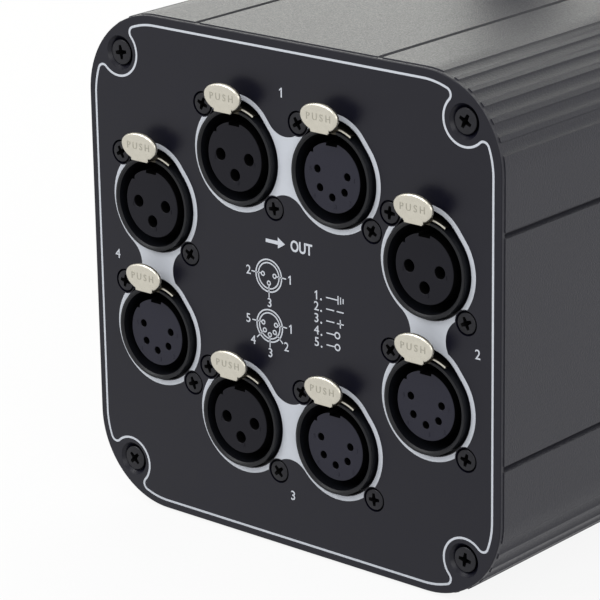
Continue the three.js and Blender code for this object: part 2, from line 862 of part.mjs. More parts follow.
const finishes = {
  housing: { color: 0x44454a, roughness: 0.38, metalness: 0.5 },
  panel: { color: 0x32323a, roughness: 0.42, metalness: 0.2 },
  screw: { color: 0x232326, roughness: 0.35, metalness: 0.8 },
  shell: { color: 0x1d1e21, roughness: 0.45, metalness: 0.4 },
  insert: { color: 0x2b2d33, roughness: 0.6, metalness: 0 },
  latch: { color: 0xcbc5b5, roughness: 0.35, metalness: 0.9 },
  pins: { color: 0x9a9ba0, roughness: 0.3, metalness: 0.9 },
  inlet: { color: 0x2a4f8f, roughness: 0.5, metalness: 0 },
  outlet: { color: 0x8b8d92, roughness: 0.5, metalness: 0 },
  core: { color: 0x1b1c1f, roughness: 0.6, metalness: 0 },
  cap: { color: 0x141416, roughness: 0.5, metalness: 0 },
  light: { color: 0xdfe6e2, roughness: 0.2, metalness: 0 },
  board: { color: 0x1f5a34, roughness: 0.55, metalness: 0 },
  iron: { color: 0x55524c, roughness: 0.6, metalness: 0.6 },
  steel: { color: 0x2b2c2f, roughness: 0.4, metalness: 0.5 },
};

const group = new THREE.Group();

function place(parent, name, body, finish) {
  const mesh = new THREE.Mesh(geometryOf(body), new THREE.MeshStandardMaterial(finishes[finish]));
  mesh.name = name;
  parent.add(mesh);
}

// A group whose own Y runs from the face of a panel into the housing
function panelFrame(x, z, rear) {
  const frame = new THREE.Group();
  frame.position.set(rear ? -x : x, rear ? -frontY : frontY, middleZ + z);
  frame.rotation.z = rear ? Math.PI : 0;
  group.add(frame);
  return frame;
}

// The four groups of outputs: above, right, below and left of the middle
const outputPlaces = [
  { name: 'out1_3pin', count: 3, x: -pairPitch / 2, z: sidePitch },
  { name: 'out1_5pin', count: 5, x: pairPitch / 2, z: sidePitch },
  { name: 'out2_3pin', count: 3, x: columnOffset, z: sidePitch / 2 },
  { name: 'out2_5pin', count: 5, x: columnOffset, z: -sidePitch / 2 },
  { name: 'out3_3pin', count: 3, x: -pairPitch / 2, z: -sidePitch },
  { name: 'out3_5pin', count: 5, x: pairPitch / 2, z: -sidePitch },
  { name: 'out4_3pin', count: 3, x: -columnOffset, z: sidePitch / 2 },
  { name: 'out4_5pin', count: 5, x: -columnOffset, z: -sidePitch / 2 },
];

// The rear row: inputs on the left and through sockets on the right, seen from behind
const rearPlaces = [
  { name: 'in_3pin', count: 3, female: false, x: -1.5 * pairPitch, z: rearRowRise },
  { name: 'in_5pin', count: 5, female: false, x: -pairPitch / 2, z: rearRowRise },
  { name: 'thru_3pin', count: 3, female: true, x: pairPitch / 2, z: rearRowRise },
  { name: 'thru_5pin', count: 5, female: true, x: 1.5 * pairPitch, z: rearRowRise },
];

function addFemale({ name, count, x, z }, rear) {
  const frame = panelFrame(x, z, rear);
  place(frame, `${name}_shell`, femaleShell(), 'shell');
  place(frame, `${name}_insert`, femaleInsert(count), 'insert');
  place(frame, `${name}_latch`, latch(), 'latch');
}

function addMale({ name, count, x, z }) {
  const frame = panelFrame(x, z, true);
  place(frame, `${name}_shell`, maleShell(), 'shell');
  place(frame, `${name}_pins`, maleInsert(count), 'pins');
}

function addCoupler(name, x, finish) {
  const frame = panelFrame(x, -couplerDrop, true);
  place(frame, `${name}_shell`, couplerShell(), finish);
  place(frame, `${name}_core`, couplerCorePiece(), 'core');
}

function addPanel(name, body, rear) {
  const frame = panelFrame(0, 0, rear);
  place(frame, `${name}_panel`, body, 'panel');
  corners(portOffset).forEach(([x, z], i) => {
    place(panelFrame(x, z, rear), `${name}_screw_${i + 1}`, cornerScrew(), 'screw');
  });
  return frame;
}

const middle = new THREE.Group();
middle.position.z = middleZ;
group.add(middle);
place(middle, 'housing', housing(), 'housing');

const front = addPanel('front', frontPanel(outputPlaces), false);
place(front, 'output_board', outputBoard(), 'board');
outputPlaces.forEach((socket) => addFemale(socket, false));

const rear = addPanel('rear', rearPanel(rearPlaces), true);
place(rear, 'light_pipe', lightPipe(), 'light');
rearPlaces.forEach((socket) => (socket.female ? addFemale(socket, true) : addMale(socket)));
addCoupler('power_in', -couplerOffset, 'inlet');
addCoupler('power_out', couplerOffset, 'outlet');
const fuse = panelFrame(0, -couplerDrop, true);
place(fuse, 'fuse_holder', fuseHolder(), 'core');
place(fuse, 'fuse_cap', fuseCap(), 'cap');

function addLevel(drop) {
  const level = new THREE.Group();
  level.position.set(0, 0, middleZ - drop);
  group.add(level);
  return level;
}

place(addLevel(mainBoardDrop), 'main_board', mainBoard(), 'board');
const powerLevel = addLevel(powerBoardDrop);
place(powerLevel, 'power_board', powerBoard(), 'board');
place(powerLevel, 'transformer', transformer(), 'iron');

const roof = new THREE.Group();
roof.position.z = topZ;
group.add(roof);
place(roof, 'truss_bracket', strap(), 'steel');
[1, -1].forEach((side, i) => {
  const seat = new THREE.Group();
  seat.position.x = side * boltOffset();
  roof.add(seat);
  place(seat, `bracket_bolt_${i + 1}`, strapBolt(), 'screw');
});

export default group;
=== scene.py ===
# %% [markdown]
# This file dresses the frame of a signal splitter for stage lighting: a fluted aluminium housing that hangs
# in a truss, with eight round output sockets on its front panel. The CAD model could be shown as it is, but its
# arcs have few facets and its finishes are flat. So every visible piece is made again here, finer, at the same
# place, and each finish is a small tree of shader nodes.

# %% Load the frame
import math
import bpy
import bmesh
from mathutils import Matrix, Vector


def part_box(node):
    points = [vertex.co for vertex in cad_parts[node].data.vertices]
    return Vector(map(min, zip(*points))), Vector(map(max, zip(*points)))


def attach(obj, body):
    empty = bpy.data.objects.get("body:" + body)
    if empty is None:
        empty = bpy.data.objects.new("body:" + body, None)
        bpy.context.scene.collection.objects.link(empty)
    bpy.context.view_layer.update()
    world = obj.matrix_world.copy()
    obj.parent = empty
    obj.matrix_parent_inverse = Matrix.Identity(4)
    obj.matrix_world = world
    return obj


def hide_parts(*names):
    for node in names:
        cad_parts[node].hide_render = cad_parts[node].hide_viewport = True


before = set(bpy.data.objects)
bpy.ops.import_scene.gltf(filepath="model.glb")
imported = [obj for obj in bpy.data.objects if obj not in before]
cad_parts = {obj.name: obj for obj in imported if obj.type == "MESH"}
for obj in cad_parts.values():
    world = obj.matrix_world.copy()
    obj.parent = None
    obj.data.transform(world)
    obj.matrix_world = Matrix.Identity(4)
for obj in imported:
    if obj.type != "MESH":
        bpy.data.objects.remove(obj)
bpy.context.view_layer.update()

# %% [markdown]
# The camera stands to the right of the front panel and a little above it. Its place could be guessed by eye,
# but straight lines and round prints show it far better: the border line, its corner loops and the eight printed
# rings give 597 points, and one camera fits most of them to half a pixel. Only the long lens is unusual: it
# keeps the panel nearly free of perspective.

# %% Camera
CAMERA_PLACE = (0.42093, -0.59256, 0.26983)
CAMERA_TURN = (71.6276, 0.8798, 40.5797)
CAMERA_LENS = 190.32

def linked(name, data):
    made = bpy.data.objects.new(name, data)
    bpy.context.scene.collection.objects.link(made)
    return made

camera = linked("camera", bpy.data.cameras.new("camera"))
camera.location = CAMERA_PLACE
camera.rotation_euler = [math.radians(turn) for turn in CAMERA_TURN]
camera.data.sensor_width = 36
camera.data.lens = CAMERA_LENS
bpy.context.scene.camera = camera
bpy.context.scene.view_settings.view_transform = "Standard"
print("camera lens", CAMERA_LENS, "mm")

# %% [markdown]
# The sizes below are millimetres, as on a workshop drawing, and Blender counts in metres. Each mesh could be
# scaled after it is made, but then its modifiers would work at the wrong size. So one helper multiplies every
# point by MM as it makes a mesh, and everything after it is at real size.

# %% Meshes from points and faces
MM = 0.001

def solid(name, points, faces):
    mesh = bpy.data.meshes.new(name)
    mesh.from_pydata([[value * MM for value in point] for point in points], [], faces)
    work = bmesh.new()
    work.from_mesh(mesh)
    bmesh.ops.recalc_face_normals(work, faces=work.faces)
    work.to_mesh(mesh)
    work.free()
    return linked(name, mesh)

# %% [markdown]
# Two moves make nearly every piece of such a device. A lathe turns a profile round an axis: sockets, screws,
# pins and caps. A press draws an outline straight through: plates, the housing and the cuts in them. Both
# could come from ready shapes and modifiers, but a few lines that join rings of points give exact radii and
# clean, closed meshes, which the boolean cuts further on depend on. Depth runs along Y, away from the viewer.

# %% The lathe: a profile of (radius, depth) pairs, closed on itself or on the axis
def turned(name, profile, steps=96):
    points, rows = [], []
    for radius, depth in profile:
        count = 1 if radius == 0 else steps
        rows.append(range(len(points), len(points) + count))
        for i in range(count):
            angle = math.tau * i / steps
            points.append((radius * math.cos(angle), depth, radius * math.sin(angle)))
    faces = []
    for one, two in zip(rows, rows[1:] + rows[:1]):
        for i in range(steps):
            j = (i + 1) % steps
            ring = [one[i % len(one)], one[j % len(one)], two[j % len(two)], two[i % len(two)]]
            face = list(dict.fromkeys(ring))
            if len(face) > 2:
                faces.append(face)
    return solid(name, points, faces)

def rod(name, radius, front, back, steps=96):
    return turned(name, [(0, front), (radius, front), (radius, back), (0, back)], steps)

def dome(radius, front, rise, steps, inner=0):
    angles = [math.pi / 2 * i / steps for i in range(steps + 1)]
    return [(inner + radius * math.sin(a), front + rise * (1 - math.cos(a))) for a in angles]

def soft_edge(radius, front, size, nick):
    return [(radius - size, front), (radius - nick, front + nick), (radius, front + size)]

# %% The press: outlines of equal length at rising depths, joined by side walls and closed at both ends
def stacked(name, layers):
    count = len(layers[0][0])
    points = [(x, depth, z) for outline, depth in layers for x, z in outline]
    faces = [list(range(count)), list(range(len(points) - count, len(points)))]
    for layer in range(len(layers) - 1):
        low, high = layer * count, (layer + 1) * count
        for i in range(count):
            j = (i + 1) % count
            faces.append([low + i, low + j, high + j, high + i])
    return solid(name, points, faces)

def drawn(name, outline, front, back):
    return stacked(name, [(outline, front), (outline, back)])

# %% Outlines: arcs, circles and rounded rectangles
def arc(x, z, radius, start, end, steps):
    angles = [math.radians(start + (end - start) * i / steps) for i in range(steps + 1)]
    return [(x + radius * math.cos(a), z + radius * math.sin(a)) for a in angles]

def rounded(half_width, half_height, radius, steps=12):
    x, z = half_width - radius, half_height - radius
    return (arc(x, z, radius, 0, 90, steps) + arc(-x, z, radius, 90, 180, steps)
            + arc(-x, -z, radius, 180, 270, steps) + arc(x, -z, radius, 270, 360, steps))

def rectangle(left, right, low, high):
    return [(left, low), (right, low), (right, high), (left, high)]

def scaled(outline, share):
    return [(x * share, z * share) for x, z in outline]

# %% Fixing a modifier into the mesh, cutting and joining
def settled(piece):
    bpy.context.view_layer.update()
    return bpy.data.meshes.new_from_object(piece.evaluated_get(bpy.context.evaluated_depsgraph_get()))

def bake(piece):
    mesh = settled(piece)
    piece.modifiers.clear()
    old, piece.data = piece.data, mesh
    mesh.name = piece.name
    bpy.data.meshes.remove(old)
    return piece

def combine(piece, tools, operation):
    for tool in tools:
        step = piece.modifiers.new(tool.name, "BOOLEAN")
        step.object, step.operation, step.solver = tool, operation, "EXACT"
    bake(piece)
    for tool in tools:
        bpy.data.objects.remove(tool)
    return piece

def cut(piece, *tools):
    return combine(piece, tools, "DIFFERENCE")

def fused(piece, *tools):
    return combine(piece, tools, "UNION")

def tipped(piece, axis, degrees=90):
    piece.data.transform(Matrix.Rotation(math.radians(degrees), 4, axis))
    return piece

def shifted(piece, x=0, depth=0, z=0, turn=None):
    if turn:
        tipped(piece, "Y", turn)
    piece.data.transform(Matrix.Translation((x * MM, depth * MM, z * MM)))
    return piece

# %% [markdown]
# A real edge is never sharp: it has a tiny round that catches the light. The edges could be rounded in every
# profile by hand, but the Bevel modifier finds all edges above an angle. Shading is then smooth everywhere
# except over edges that are still sharp, and weighted normals keep the large flat faces flat.

# %% Edges and shading
def eased(piece, width, segments=2, angle=40):
    step = piece.modifiers.new("edges", "BEVEL")
    step.width, step.segments = width * MM, segments
    step.limit_method, step.angle_limit = "ANGLE", math.radians(angle)
    step.use_clamp_overlap = True
    return bake(piece)

def shaded(piece, angle=32, name=None):
    piece.name = name or piece.name
    piece.data.shade_smooth()
    piece.data.set_sharp_from_angle(angle=math.radians(angle))
    step = piece.modifiers.new("normals", "WEIGHTED_NORMAL")
    step.keep_sharp, step.weight = True, 80
    return bake(piece)

# %% [markdown]
# Every finish starts as the same small tree: a base colour that drifts a little over the surface, a roughness
# that drifts with it, and a fine bump for the grain of paint, casting or moulding. A single flat colour would
# be quicker, but it looks like plastic foam under soft light. The noise reads the piece's own coordinates, so
# the grain has real size and moves with the piece.

# %% Nodes: inputs filled with a value, or linked to another node's output
def filled(tree, node, values):
    for socket, value in values.items():
        if isinstance(value, bpy.types.NodeSocket):
            tree.links.new(value, node.inputs[socket])
        else:
            node.inputs[socket].default_value = value
    return node

def added(tree, kind, values):
    return filled(tree, tree.nodes.new("ShaderNode" + kind), values)

def new_material(name):
    material = bpy.data.materials.new(name)
    material.use_nodes = True
    return material, material.node_tree, material.node_tree.nodes["Principled BSDF"]

# %% A finish with grain
def mixed(tree, factor, dark, light):
    mix = tree.nodes.new("ShaderNodeMix")
    mix.data_type = "RGBA"
    return filled(tree, mix, {"Factor": factor, "A": (*dark, 1), "B": (*light, 1)}).outputs["Result"]

def ranged(tree, factor, low, high):
    limits = {"From Min": 0.3, "From Max": 0.7, "To Min": low, "To Max": high}
    return added(tree, "MapRange", {"Value": factor, **limits}).outputs["Result"]

def noise(tree, size, detail=3, stretch=(1, 1, 1)):
    own = tree.nodes.new("ShaderNodeTexCoord").outputs["Object"]
    place = added(tree, "Mapping", {"Vector": own, "Scale": stretch}).outputs["Vector"]
    return added(tree, "TexNoise", {"Vector": place, "Scale": 1 / (size * MM), "Detail": detail}).outputs["Fac"]

def finish(name, colour, roughness, metallic=0, drift=0.12, drift_size=6, grain=0.3, bump=0.1,
           stretch=(1, 1, 1), rough_drift=0.05, shine=0.5):
    material, tree, shader = new_material(name)
    fine = noise(tree, grain, 2, stretch)
    dark, light = [[value * (1 + side * drift) for value in colour] for side in (-1, 1)]
    relief = added(tree, "Bump", {"Strength": bump, "Distance": grain * MM, "Height": fine})
    filled(tree, shader, {
        "Metallic": metallic, "Specular IOR Level": shine, "Normal": relief.outputs["Normal"],
        "Base Color": mixed(tree, noise(tree, drift_size), dark, light),
        "Roughness": ranged(tree, fine, roughness - rough_drift, roughness + rough_drift)})
    return material

# %% Putting a piece on the object
def coated(piece, material):
    piece.data.materials.clear()
    piece.data.materials.append(material)

def dressed(piece, material, slot, body="splitter", replaces=()):
    coated(piece, material)
    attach(piece, body)
    if replaces:
        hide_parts(*replaces)
    return piece

def two_tone(piece, second, chosen):
    piece.data.materials.append(second)
    for face in piece.data.polygons:
        if chosen(face.center / MM, face.normal):
            face.material_index = 1
    return piece

# %% [markdown]
# The places come from the frame. A socket's middle could be typed in again, but the frame already knows it:
# the box of its insert is square and lies round the middle. Each place is kept as x and height from the middle
# of its panel, seen from outside, with a flag for the rear panel.

# %% Places of the sockets and panels
def middle(node):
    low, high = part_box(node)
    return (low + high) / 2 / MM

HOUSING_LOW, HOUSING_HIGH = (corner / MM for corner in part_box("housing"))
MIDDLE_Z = (HOUSING_LOW.z + HOUSING_HIGH.z) / 2
HOUSING_HALF = (HOUSING_HIGH.x - HOUSING_LOW.x) / 2
PANEL_FACE = -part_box("front_panel")[0].y / MM
FEMALES = [f"out{group}_{pins}pin" for group in range(1, 5) for pins in (3, 5)] + ["thru_3pin", "thru_5pin"]
MALES = ["in_3pin", "in_5pin"]

def place_of(node):
    spot = middle(node)
    rear = spot.y > 0
    return (-spot.x if rear else spot.x, spot.z - MIDDLE_Z, rear)

def seated(piece, x, z, rear):
    side = -1 if rear else 1
    turn = Matrix.Rotation(math.pi if rear else 0, 4, "Z")
    piece.matrix_world = Matrix.Translation((side * x * MM, -side * PANEL_FACE * MM, (MIDDLE_Z + z) * MM)) @ turn
    return piece

sockets = {name: place_of(f"{name}_insert") for name in FEMALES}
sockets.update({name: place_of(f"{name}_pins") for name in MALES})
print("panel middle at", round(MIDDLE_Z, 2), "mm; sockets:", len(sockets))

# %% [markdown]
# The housing is one aluminium extrusion: 114 mm square, with six shallow flutes round each corner and two thin
# grooves on each flat. It could be modelled from a bevelled box with cuts, but an extrusion is an outline drawn
# through, so one outline with the flutes in it does the same as the real die. Its ends reach a little over the
# panels, whose rims are stepped, and a thin gap stays between the two, which shows as a black line.

# %% Outline of the extrusion
CORNER = 19.75
FLUTES, FLUTE_STEP, FLUTE_LAND, FLUTE_DEPTH = 6, 3.96, 1.0, 0.6
GROOVE_AT, GROOVE_WIDTH, GROOVE_DEPTH = 25, 1.4, 1.1

def fluted_corner():
    centre = HOUSING_HALF - CORNER
    step = math.degrees(FLUTE_STEP / CORNER)
    hollow = math.degrees((FLUTE_STEP - FLUTE_LAND) / CORNER)
    first = 45 - step * (FLUTES - 1) / 2 - hollow / 2
    points = arc(centre, centre, CORNER, 0, first, 3)[:-1]
    for flute in range(FLUTES):
        start = first + step * flute
        for i in range(13):
            share = i / 12
            radius = CORNER - FLUTE_DEPTH * math.sin(math.pi * share) ** 0.5
            points += arc(centre, centre, radius, start + hollow * share, 0, 1)[:1]
    return points + arc(centre, centre, CORNER, start + hollow, 90, 3)[1:]

def grooves():
    floor, half, foot = HOUSING_HALF - GROOVE_DEPTH, GROOVE_WIDTH / 2, GROOVE_WIDTH / 16
    shape = ((half, HOUSING_HALF), (foot, floor), (-foot, floor), (-half, HOUSING_HALF))
    return [(side * GROOVE_AT + across, height) for side in (1, -1) for across, height in shape]

def quartered(points):
    return [(x * cos - z * sin, x * sin + z * cos) for cos, sin in ((1, 0), (0, 1), (-1, 0), (0, -1))
            for x, z in points]

extrusion = quartered(fluted_corner() + grooves())
print("points round the extrusion:", len(extrusion))

# %% Housing
WALL = 2.5
PORT_INSET, PORT_RADIUS, PORT_BOSS = 9.75, 2.2, 4.7
PORT_AT = HOUSING_HALF - PORT_INSET
LIP, LIP_WIDE, END_CHAMFER = 1.07, 0.8, 0.04
CORNERS = [(1, 1), (-1, 1), (-1, -1), (1, -1)]

front, back = HOUSING_LOW.y - LIP, HOUSING_HIGH.y + LIP
drawn_in = scaled(extrusion, 1 - END_CHAMFER / HOUSING_HALF)
housing = stacked("housing_fluted", [(drawn_in, front), (extrusion, front + END_CHAMFER),
                                     (extrusion, back - END_CHAMFER), (drawn_in, back)])
inner = HOUSING_HALF - WALL
cavity = drawn("cavity", rounded(inner, inner, CORNER - WALL), front - 5, back + 5)

def at_the_ports(name, radius, past):
    return [shifted(rod(name, radius, front - past, back + past, 32), x * PORT_AT, 0, z * PORT_AT) for x, z in CORNERS]

cut(cavity, *at_the_ports("boss", PORT_BOSS, 9))
seat = HOUSING_HALF - LIP_WIDE
seats = [drawn("seat", rounded(seat, seat, CORNER - LIP_WIDE), *ends)
         for ends in ((front - 1, front + LIP), (back - LIP, back + 1))]
cut(housing, cavity, *seats)
cut(housing, *at_the_ports("port", PORT_RADIUS, 1))
shaded(shifted(housing, 0, 0, MIDDLE_Z), 28)
anodised = finish("anodised_aluminium", (0.025, 0.025, 0.033), 0.44, metallic=0.05, drift=0.06, drift_size=25,
                  grain=0.35, bump=0.3, rough_drift=0.08, shine=0.36)
dressed(housing, anodised, "housing", replaces=["housing"])
print("housing faces:", len(housing.data.polygons))

# %% [markdown]
# Each panel is a 2 mm plate with a rounded front edge and a stepped rim, coated in a satin near-black; its narrow
# side and the outer part of the round edge take the housing's lighter anodised finish as a painted highlight, a
# light line round the plate. The round edge could be a bevel, but then the holes would get it too. So the plate
# is a stack of outlines, and the holes are cut afterwards with tools of the same egg shape as the real stamping.

# %% Plate with a rounded front edge
PLATE, PLATE_EDGE, PLATE_RIM, PLATE_INSET = 2, 0.25, 0.9, 0.23
PLATE_HALF = HOUSING_HALF - PLATE_INSET

def rounded_plate(name, half_width, half_height, corner, edge, front, back, steps=12, turns=6, step=None):
    layers = []
    for i in range(turns + 1):
        angle = math.pi / 2 * i / turns
        inset, depth = edge * (1 - math.sin(angle)), edge * (1 - math.cos(angle))
        outline = rounded(half_width - inset, half_height - inset, corner - inset, steps)
        layers.append((outline, front + depth))
    if step:
        rim, by = step
        inner = rounded(half_width - by, half_height - by, corner - by, steps)
        return stacked(name, layers + [(layers[-1][0], front + rim), (inner, front + rim), (inner, back)])
    return stacked(name, layers + [(layers[-1][0], back)])

# %% Outline of a socket's hole: round, and for a socket with a latch it bulges at the top, like an egg
HOLE, CROWN, CROWN_RISE = 11.05, 8.85, 3.55

def egg(grow=0):
    meet_at = math.degrees(math.asin((HOLE - CROWN) / CROWN_RISE))
    return (arc(0, 0, HOLE + grow, 180 - meet_at, 360 + meet_at, 72)
            + arc(0, CROWN_RISE, CROWN + grow, meet_at, 180 - meet_at, 40))

def hole_outline(name, grow=0):
    return egg(grow) if name in FEMALES else arc(0, 0, HOLE + grow, 0, 360, 96)[:-1]

def sink(name, wide, mouth, deep, hole, steps=48):
    return turned(name, [(0, -1), (wide + (wide - mouth) / deep, -1), (mouth, deep), (hole, deep + mouth - hole),
                         (hole, PLATE + 1), (0, PLATE + 1)], steps)

# %% Panels
PLAY = 0.3
EARS = [(-9.9, 9.9), (9.9, -9.9)]
SMALL_SINK = (2.72, 2.66, 0.7, 1.5)
DISH = (3.8, 3.12, 0.9, 2.3)

def socket_tools(name, x, z):
    hole = drawn("hole", hole_outline(name), -1, PLATE + 1)
    sinks = [shifted(sink("sink", *SMALL_SINK), dx, 0, dz) for dx, dz in EARS]
    return [shifted(tool, x, 0, z) for tool in [hole, *sinks]]

def panel(name, rear, extra=()):
    plate = rounded_plate(name, PLATE_HALF, PLATE_HALF, CORNER - PLATE_INSET, PLATE_EDGE, 0, PLATE, 24,
                          step=(PLATE_RIM, LIP_WIDE))
    tools = [shifted(sink("dish", *DISH, 64), x * PORT_AT, 0, z * PORT_AT) for x, z in CORNERS]
    for socket, (x, z, behind) in sockets.items():
        if behind == rear:
            tools += socket_tools(socket, x, z)
    cut(plate, *tools, *extra)
    return seated(shaded(plate, 25), 0, 0, rear)

# Picks the plate's narrow side, which gets the lighter finish as a painted highlight along the edge.
def on_the_side(place, normal):
    bend = PLATE_HALF - CORNER
    x, z = abs(place.x) - bend, abs(place.z) - bend
    edge = CORNER - math.hypot(max(x, 0), max(z, 0)) - min(max(x, z), 0)
    return abs(normal.y) < 0.5 and edge < 0.5

satin = finish("satin_coat", (0.003, 0.003, 0.0085), 0.35, drift=0.1, drift_size=30, grain=0.25, bump=0.06,
               rough_drift=0.04, shine=0.295)
front_panel = dressed(panel("front_plate", False), satin, "panel", replaces=["front_panel"])
# The narrow side takes the lighter anodised finish as a painted highlight.
two_tone(front_panel, anodised, on_the_side)
print("front plate faces:", len(front_panel.data.polygons))

# %% [markdown]
# The white lines and rings are screen print: a skin of ink. They could be painted by the material, but then the
# edge of a ring would depend on the texture's maths, and the print could not be reused on another plate. So each
# print is a mesh of its own, a few hundredths of a millimetre thick, cut with the same keyholes as the plate.

# %% Ink and the border line with its loops round the corner screws
INK, INK_UNDER = 0.04, 0.02
LINE = 0.5
BORDER_HALF, BORDER_CORNER = 54.77, 18
LOOP_AT, LOOP, FILLET = 47.61, 5.46, 1.4
PRINT_SHIFT = (-0.15, -0.11)

def meet(centre_a, radius_a, centre_b, radius_b):
    (ax, az), (bx, bz) = centre_a, centre_b
    apart = math.dist(centre_a, centre_b)
    along = (radius_a ** 2 - radius_b ** 2 + apart ** 2) / (2 * apart)
    across = math.sqrt(radius_a ** 2 - along ** 2)
    ux, uz = (bx - ax) / apart, (bz - az) / apart
    return (ax + along * ux + across * uz, az + along * uz - across * ux)

def bearing(start, end):
    return math.degrees(math.atan2(end[1] - start[1], end[0] - start[0]))

def looped_corner():
    bend = BORDER_HALF - BORDER_CORNER
    screw, centre = (LOOP_AT, LOOP_AT), (bend, bend)
    low = meet(centre, BORDER_CORNER - FILLET, screw, LOOP + FILLET)
    half = arc(bend, bend, BORDER_CORNER, 0, bearing(centre, low), 10)
    half += arc(*low, FILLET, bearing(centre, low), bearing(low, screw), 10)
    half += arc(*screw, LOOP, bearing(screw, low), -135, 14)
    return half + [(z, x) for x, z in reversed(half[:-1])]

def sideways(dx, dz, width):
    length = math.hypot(dx, dz)
    return dz / length * width / 2, -dx / length * width / 2

def ribbon(name, path, width, front=-INK, back=INK_UNDER):
    count = len(path)
    points, faces = [], []
    for i, (x, z) in enumerate(path):
        (px, pz), (nx, nz) = path[i - 1], path[(i + 1) % count]
        sx, sz = sideways(nx - px, nz - pz, width)
        points += [(x + sx, front, z + sz), (x - sx, front, z - sz), (x - sx, back, z - sz), (x + sx, back, z + sz)]
    for i in range(count):
        a, b = 4 * i, 4 * ((i + 1) % count)
        faces += [[a + k, a + (k + 1) % 4, b + (k + 1) % 4, b + k] for k in range(4)]
    return solid(name, points, faces)

ink = finish("screen_ink", (0.50, 0.525, 0.575), 0.5, drift=0.04, drift_size=4, grain=0.12, bump=0.05)

def inked(name, outline):
    return drawn(name, outline, -INK, INK_UNDER)

def printed(piece, rear=False):
    return dressed(seated(piece, 0, 0, rear), ink, "panel")

def border(name, rear):
    path = [(x + PRINT_SHIFT[0], z + PRINT_SHIFT[1]) for x, z in quartered(looped_corner())]
    return printed(ribbon(name, path, LINE), rear)

print("points in the border:", len(border("front_border", False).data.vertices))

# %% [markdown]
# The two sockets of a group share one print: a ring round each, joined by a web with hollow sides. The web
# could be a box, but its hollow sides are arcs that touch both rings, so it is drawn from two arcs whose ends
# lie on the rings. Fused with the two egg discs it becomes one skin, and the holes and the screw sinks then cut
# it, a little wider than the plate's own.

# %% Ring prints
RING = 12.33
RING_PLAY, SINK_PLAY = 0.2, 0.2

def web_outline(half_apart, web):
    across = math.sqrt((RING + web) ** 2 - half_apart ** 2)
    lean = math.degrees(math.atan2(across, half_apart))
    return ([(half_apart, 0)] + arc(0, across, web, -lean, lean - 180, 24)
            + [(-half_apart, 0)] + arc(0, -across, web, 180 - lean, lean, 24))

def ring_print(first, second, web):
    (ax, az, rear), (bx, bz, _) = sockets[first], sockets[second]
    outline = web_outline(math.dist((ax, az), (bx, bz)) / 2, web)
    if abs(ax - bx) < abs(az - bz):
        outline = [(-z, x) for x, z in outline]
    skin = shifted(inked(f"{first[:-5]}_rings", outline), (ax + bx) / 2, 0, (az + bz) / 2)
    discs, holes = [], []
    for name in (first, second):
        x, z, _ = sockets[name]
        discs.append(shifted(inked("disc", hole_outline(name, RING - HOLE)), x, 0, z))
        holes.append(shifted(drawn("hole", hole_outline(name, RING_PLAY), -1, 1), x, 0, z))
        holes += [shifted(rod("ear", SMALL_SINK[0] + SINK_PLAY, -1, 1, 48), x + dx, 0, z + dz) for dx, dz in EARS]
    return printed(cut(fused(skin, *discs), *holes), rear)

WEB_ACROSS, WEB_UPRIGHT = 5.6, 5.84
for group in range(1, 5):
    ring_print(f"out{group}_3pin", f"out{group}_5pin", WEB_ACROSS if group % 2 else WEB_UPRIGHT)
print("ring prints: 4")

# %% [markdown]
# The digits are generic pin and group numbers. Blender's own font is close to the plain bold face that such
# panels carry, so each text becomes a text object, is thickened a little and is turned into a mesh. Drawing the
# strokes by hand would only copy what the font already has.

# %% Printed digits and words
CAP_SHARE = 0.7

def lettering(name, text, height, x, z, align="CENTER", raised=INK, sunk=INK_UNDER, bold=0.01, spread=1):
    curve = bpy.data.curves.new(name, "FONT")
    curve.body, curve.align_x, curve.align_y, curve.space_character = text, align, "CENTER", spread
    curve.size = height / CAP_SHARE
    curve.extrude, curve.offset = (raised + sunk) / 2, bold * height
    curve.resolution_u = 6
    typed = linked(name, curve)
    mesh = settled(typed)
    bpy.data.objects.remove(typed)
    mesh.transform(Matrix.Rotation(math.pi / 2, 4, "X"))
    mesh.transform(Matrix.Translation((x, (sunk - raised) / 2, z)))
    mesh.transform(Matrix.Scale(MM, 4))
    return linked(name, mesh)

PLAIN_ONE = [(-0.03, -0.5), (0.13, -0.5), (0.13, 0.5), (0.01, 0.5), (-0.22, 0.29), (-0.22, 0.14), (-0.03, 0.29)]

def figure(text, height, x, z):
    if text == "1":
        return inked("figure", [(x + height * px, z + height * pz) for px, pz in PLAIN_ONE])
    return lettering("figure", text, height, x, z)

def joined(name, pieces):
    work = bmesh.new()
    for piece in pieces:
        work.from_mesh(piece.data)
        bpy.data.objects.remove(piece)
    mesh = bpy.data.meshes.new(name)
    work.to_mesh(mesh)
    work.free()
    return linked(name, mesh)

GROUP_DIGITS = {"1": (-1.0, 45.6), "2": (50.8, -1.2), "3": (0.5, -44.5), "4": (-49.9, 0.9)}
for digit, (x, z) in GROUP_DIGITS.items():
    printed(joined(f"group_{digit}", [figure(digit, 2.1, x, z)]))

def bar(x, z, to_x, to_z, width=0.26):
    sx, sz = sideways(to_x - x, to_z - z, width)
    return inked("bar", [(x - sx, z - sz), (to_x - sx, to_z - sz), (to_x + sx, to_z + sz), (x + sx, z + sz)])

def ring(x, z, outer, inner, steps=48):
    profile = [(inner, -INK), (outer, -INK), (outer, INK_UNDER), (inner, INK_UNDER)]
    return shifted(turned("ring", profile, steps), x, 0, z)

# %% Pin diagrams
FIGURE = 2.0

def diagram(name, x, z, pins, leaders, digits):
    parts = [ring(x, z, 3.78, 3.46), ring(x, z, 3.05, 2.75)]
    parts += [ring(x + px, z + pz, 0.58, 0.3, 24) for px, pz in pins]
    parts += [bar(x + ax, z + az, x + bx, z + bz) for ax, az, bx, bz in leaders]
    parts += [figure(text, FIGURE, x + dx, z + dz) for text, dx, dz in digits]
    return printed(joined(name, parts))

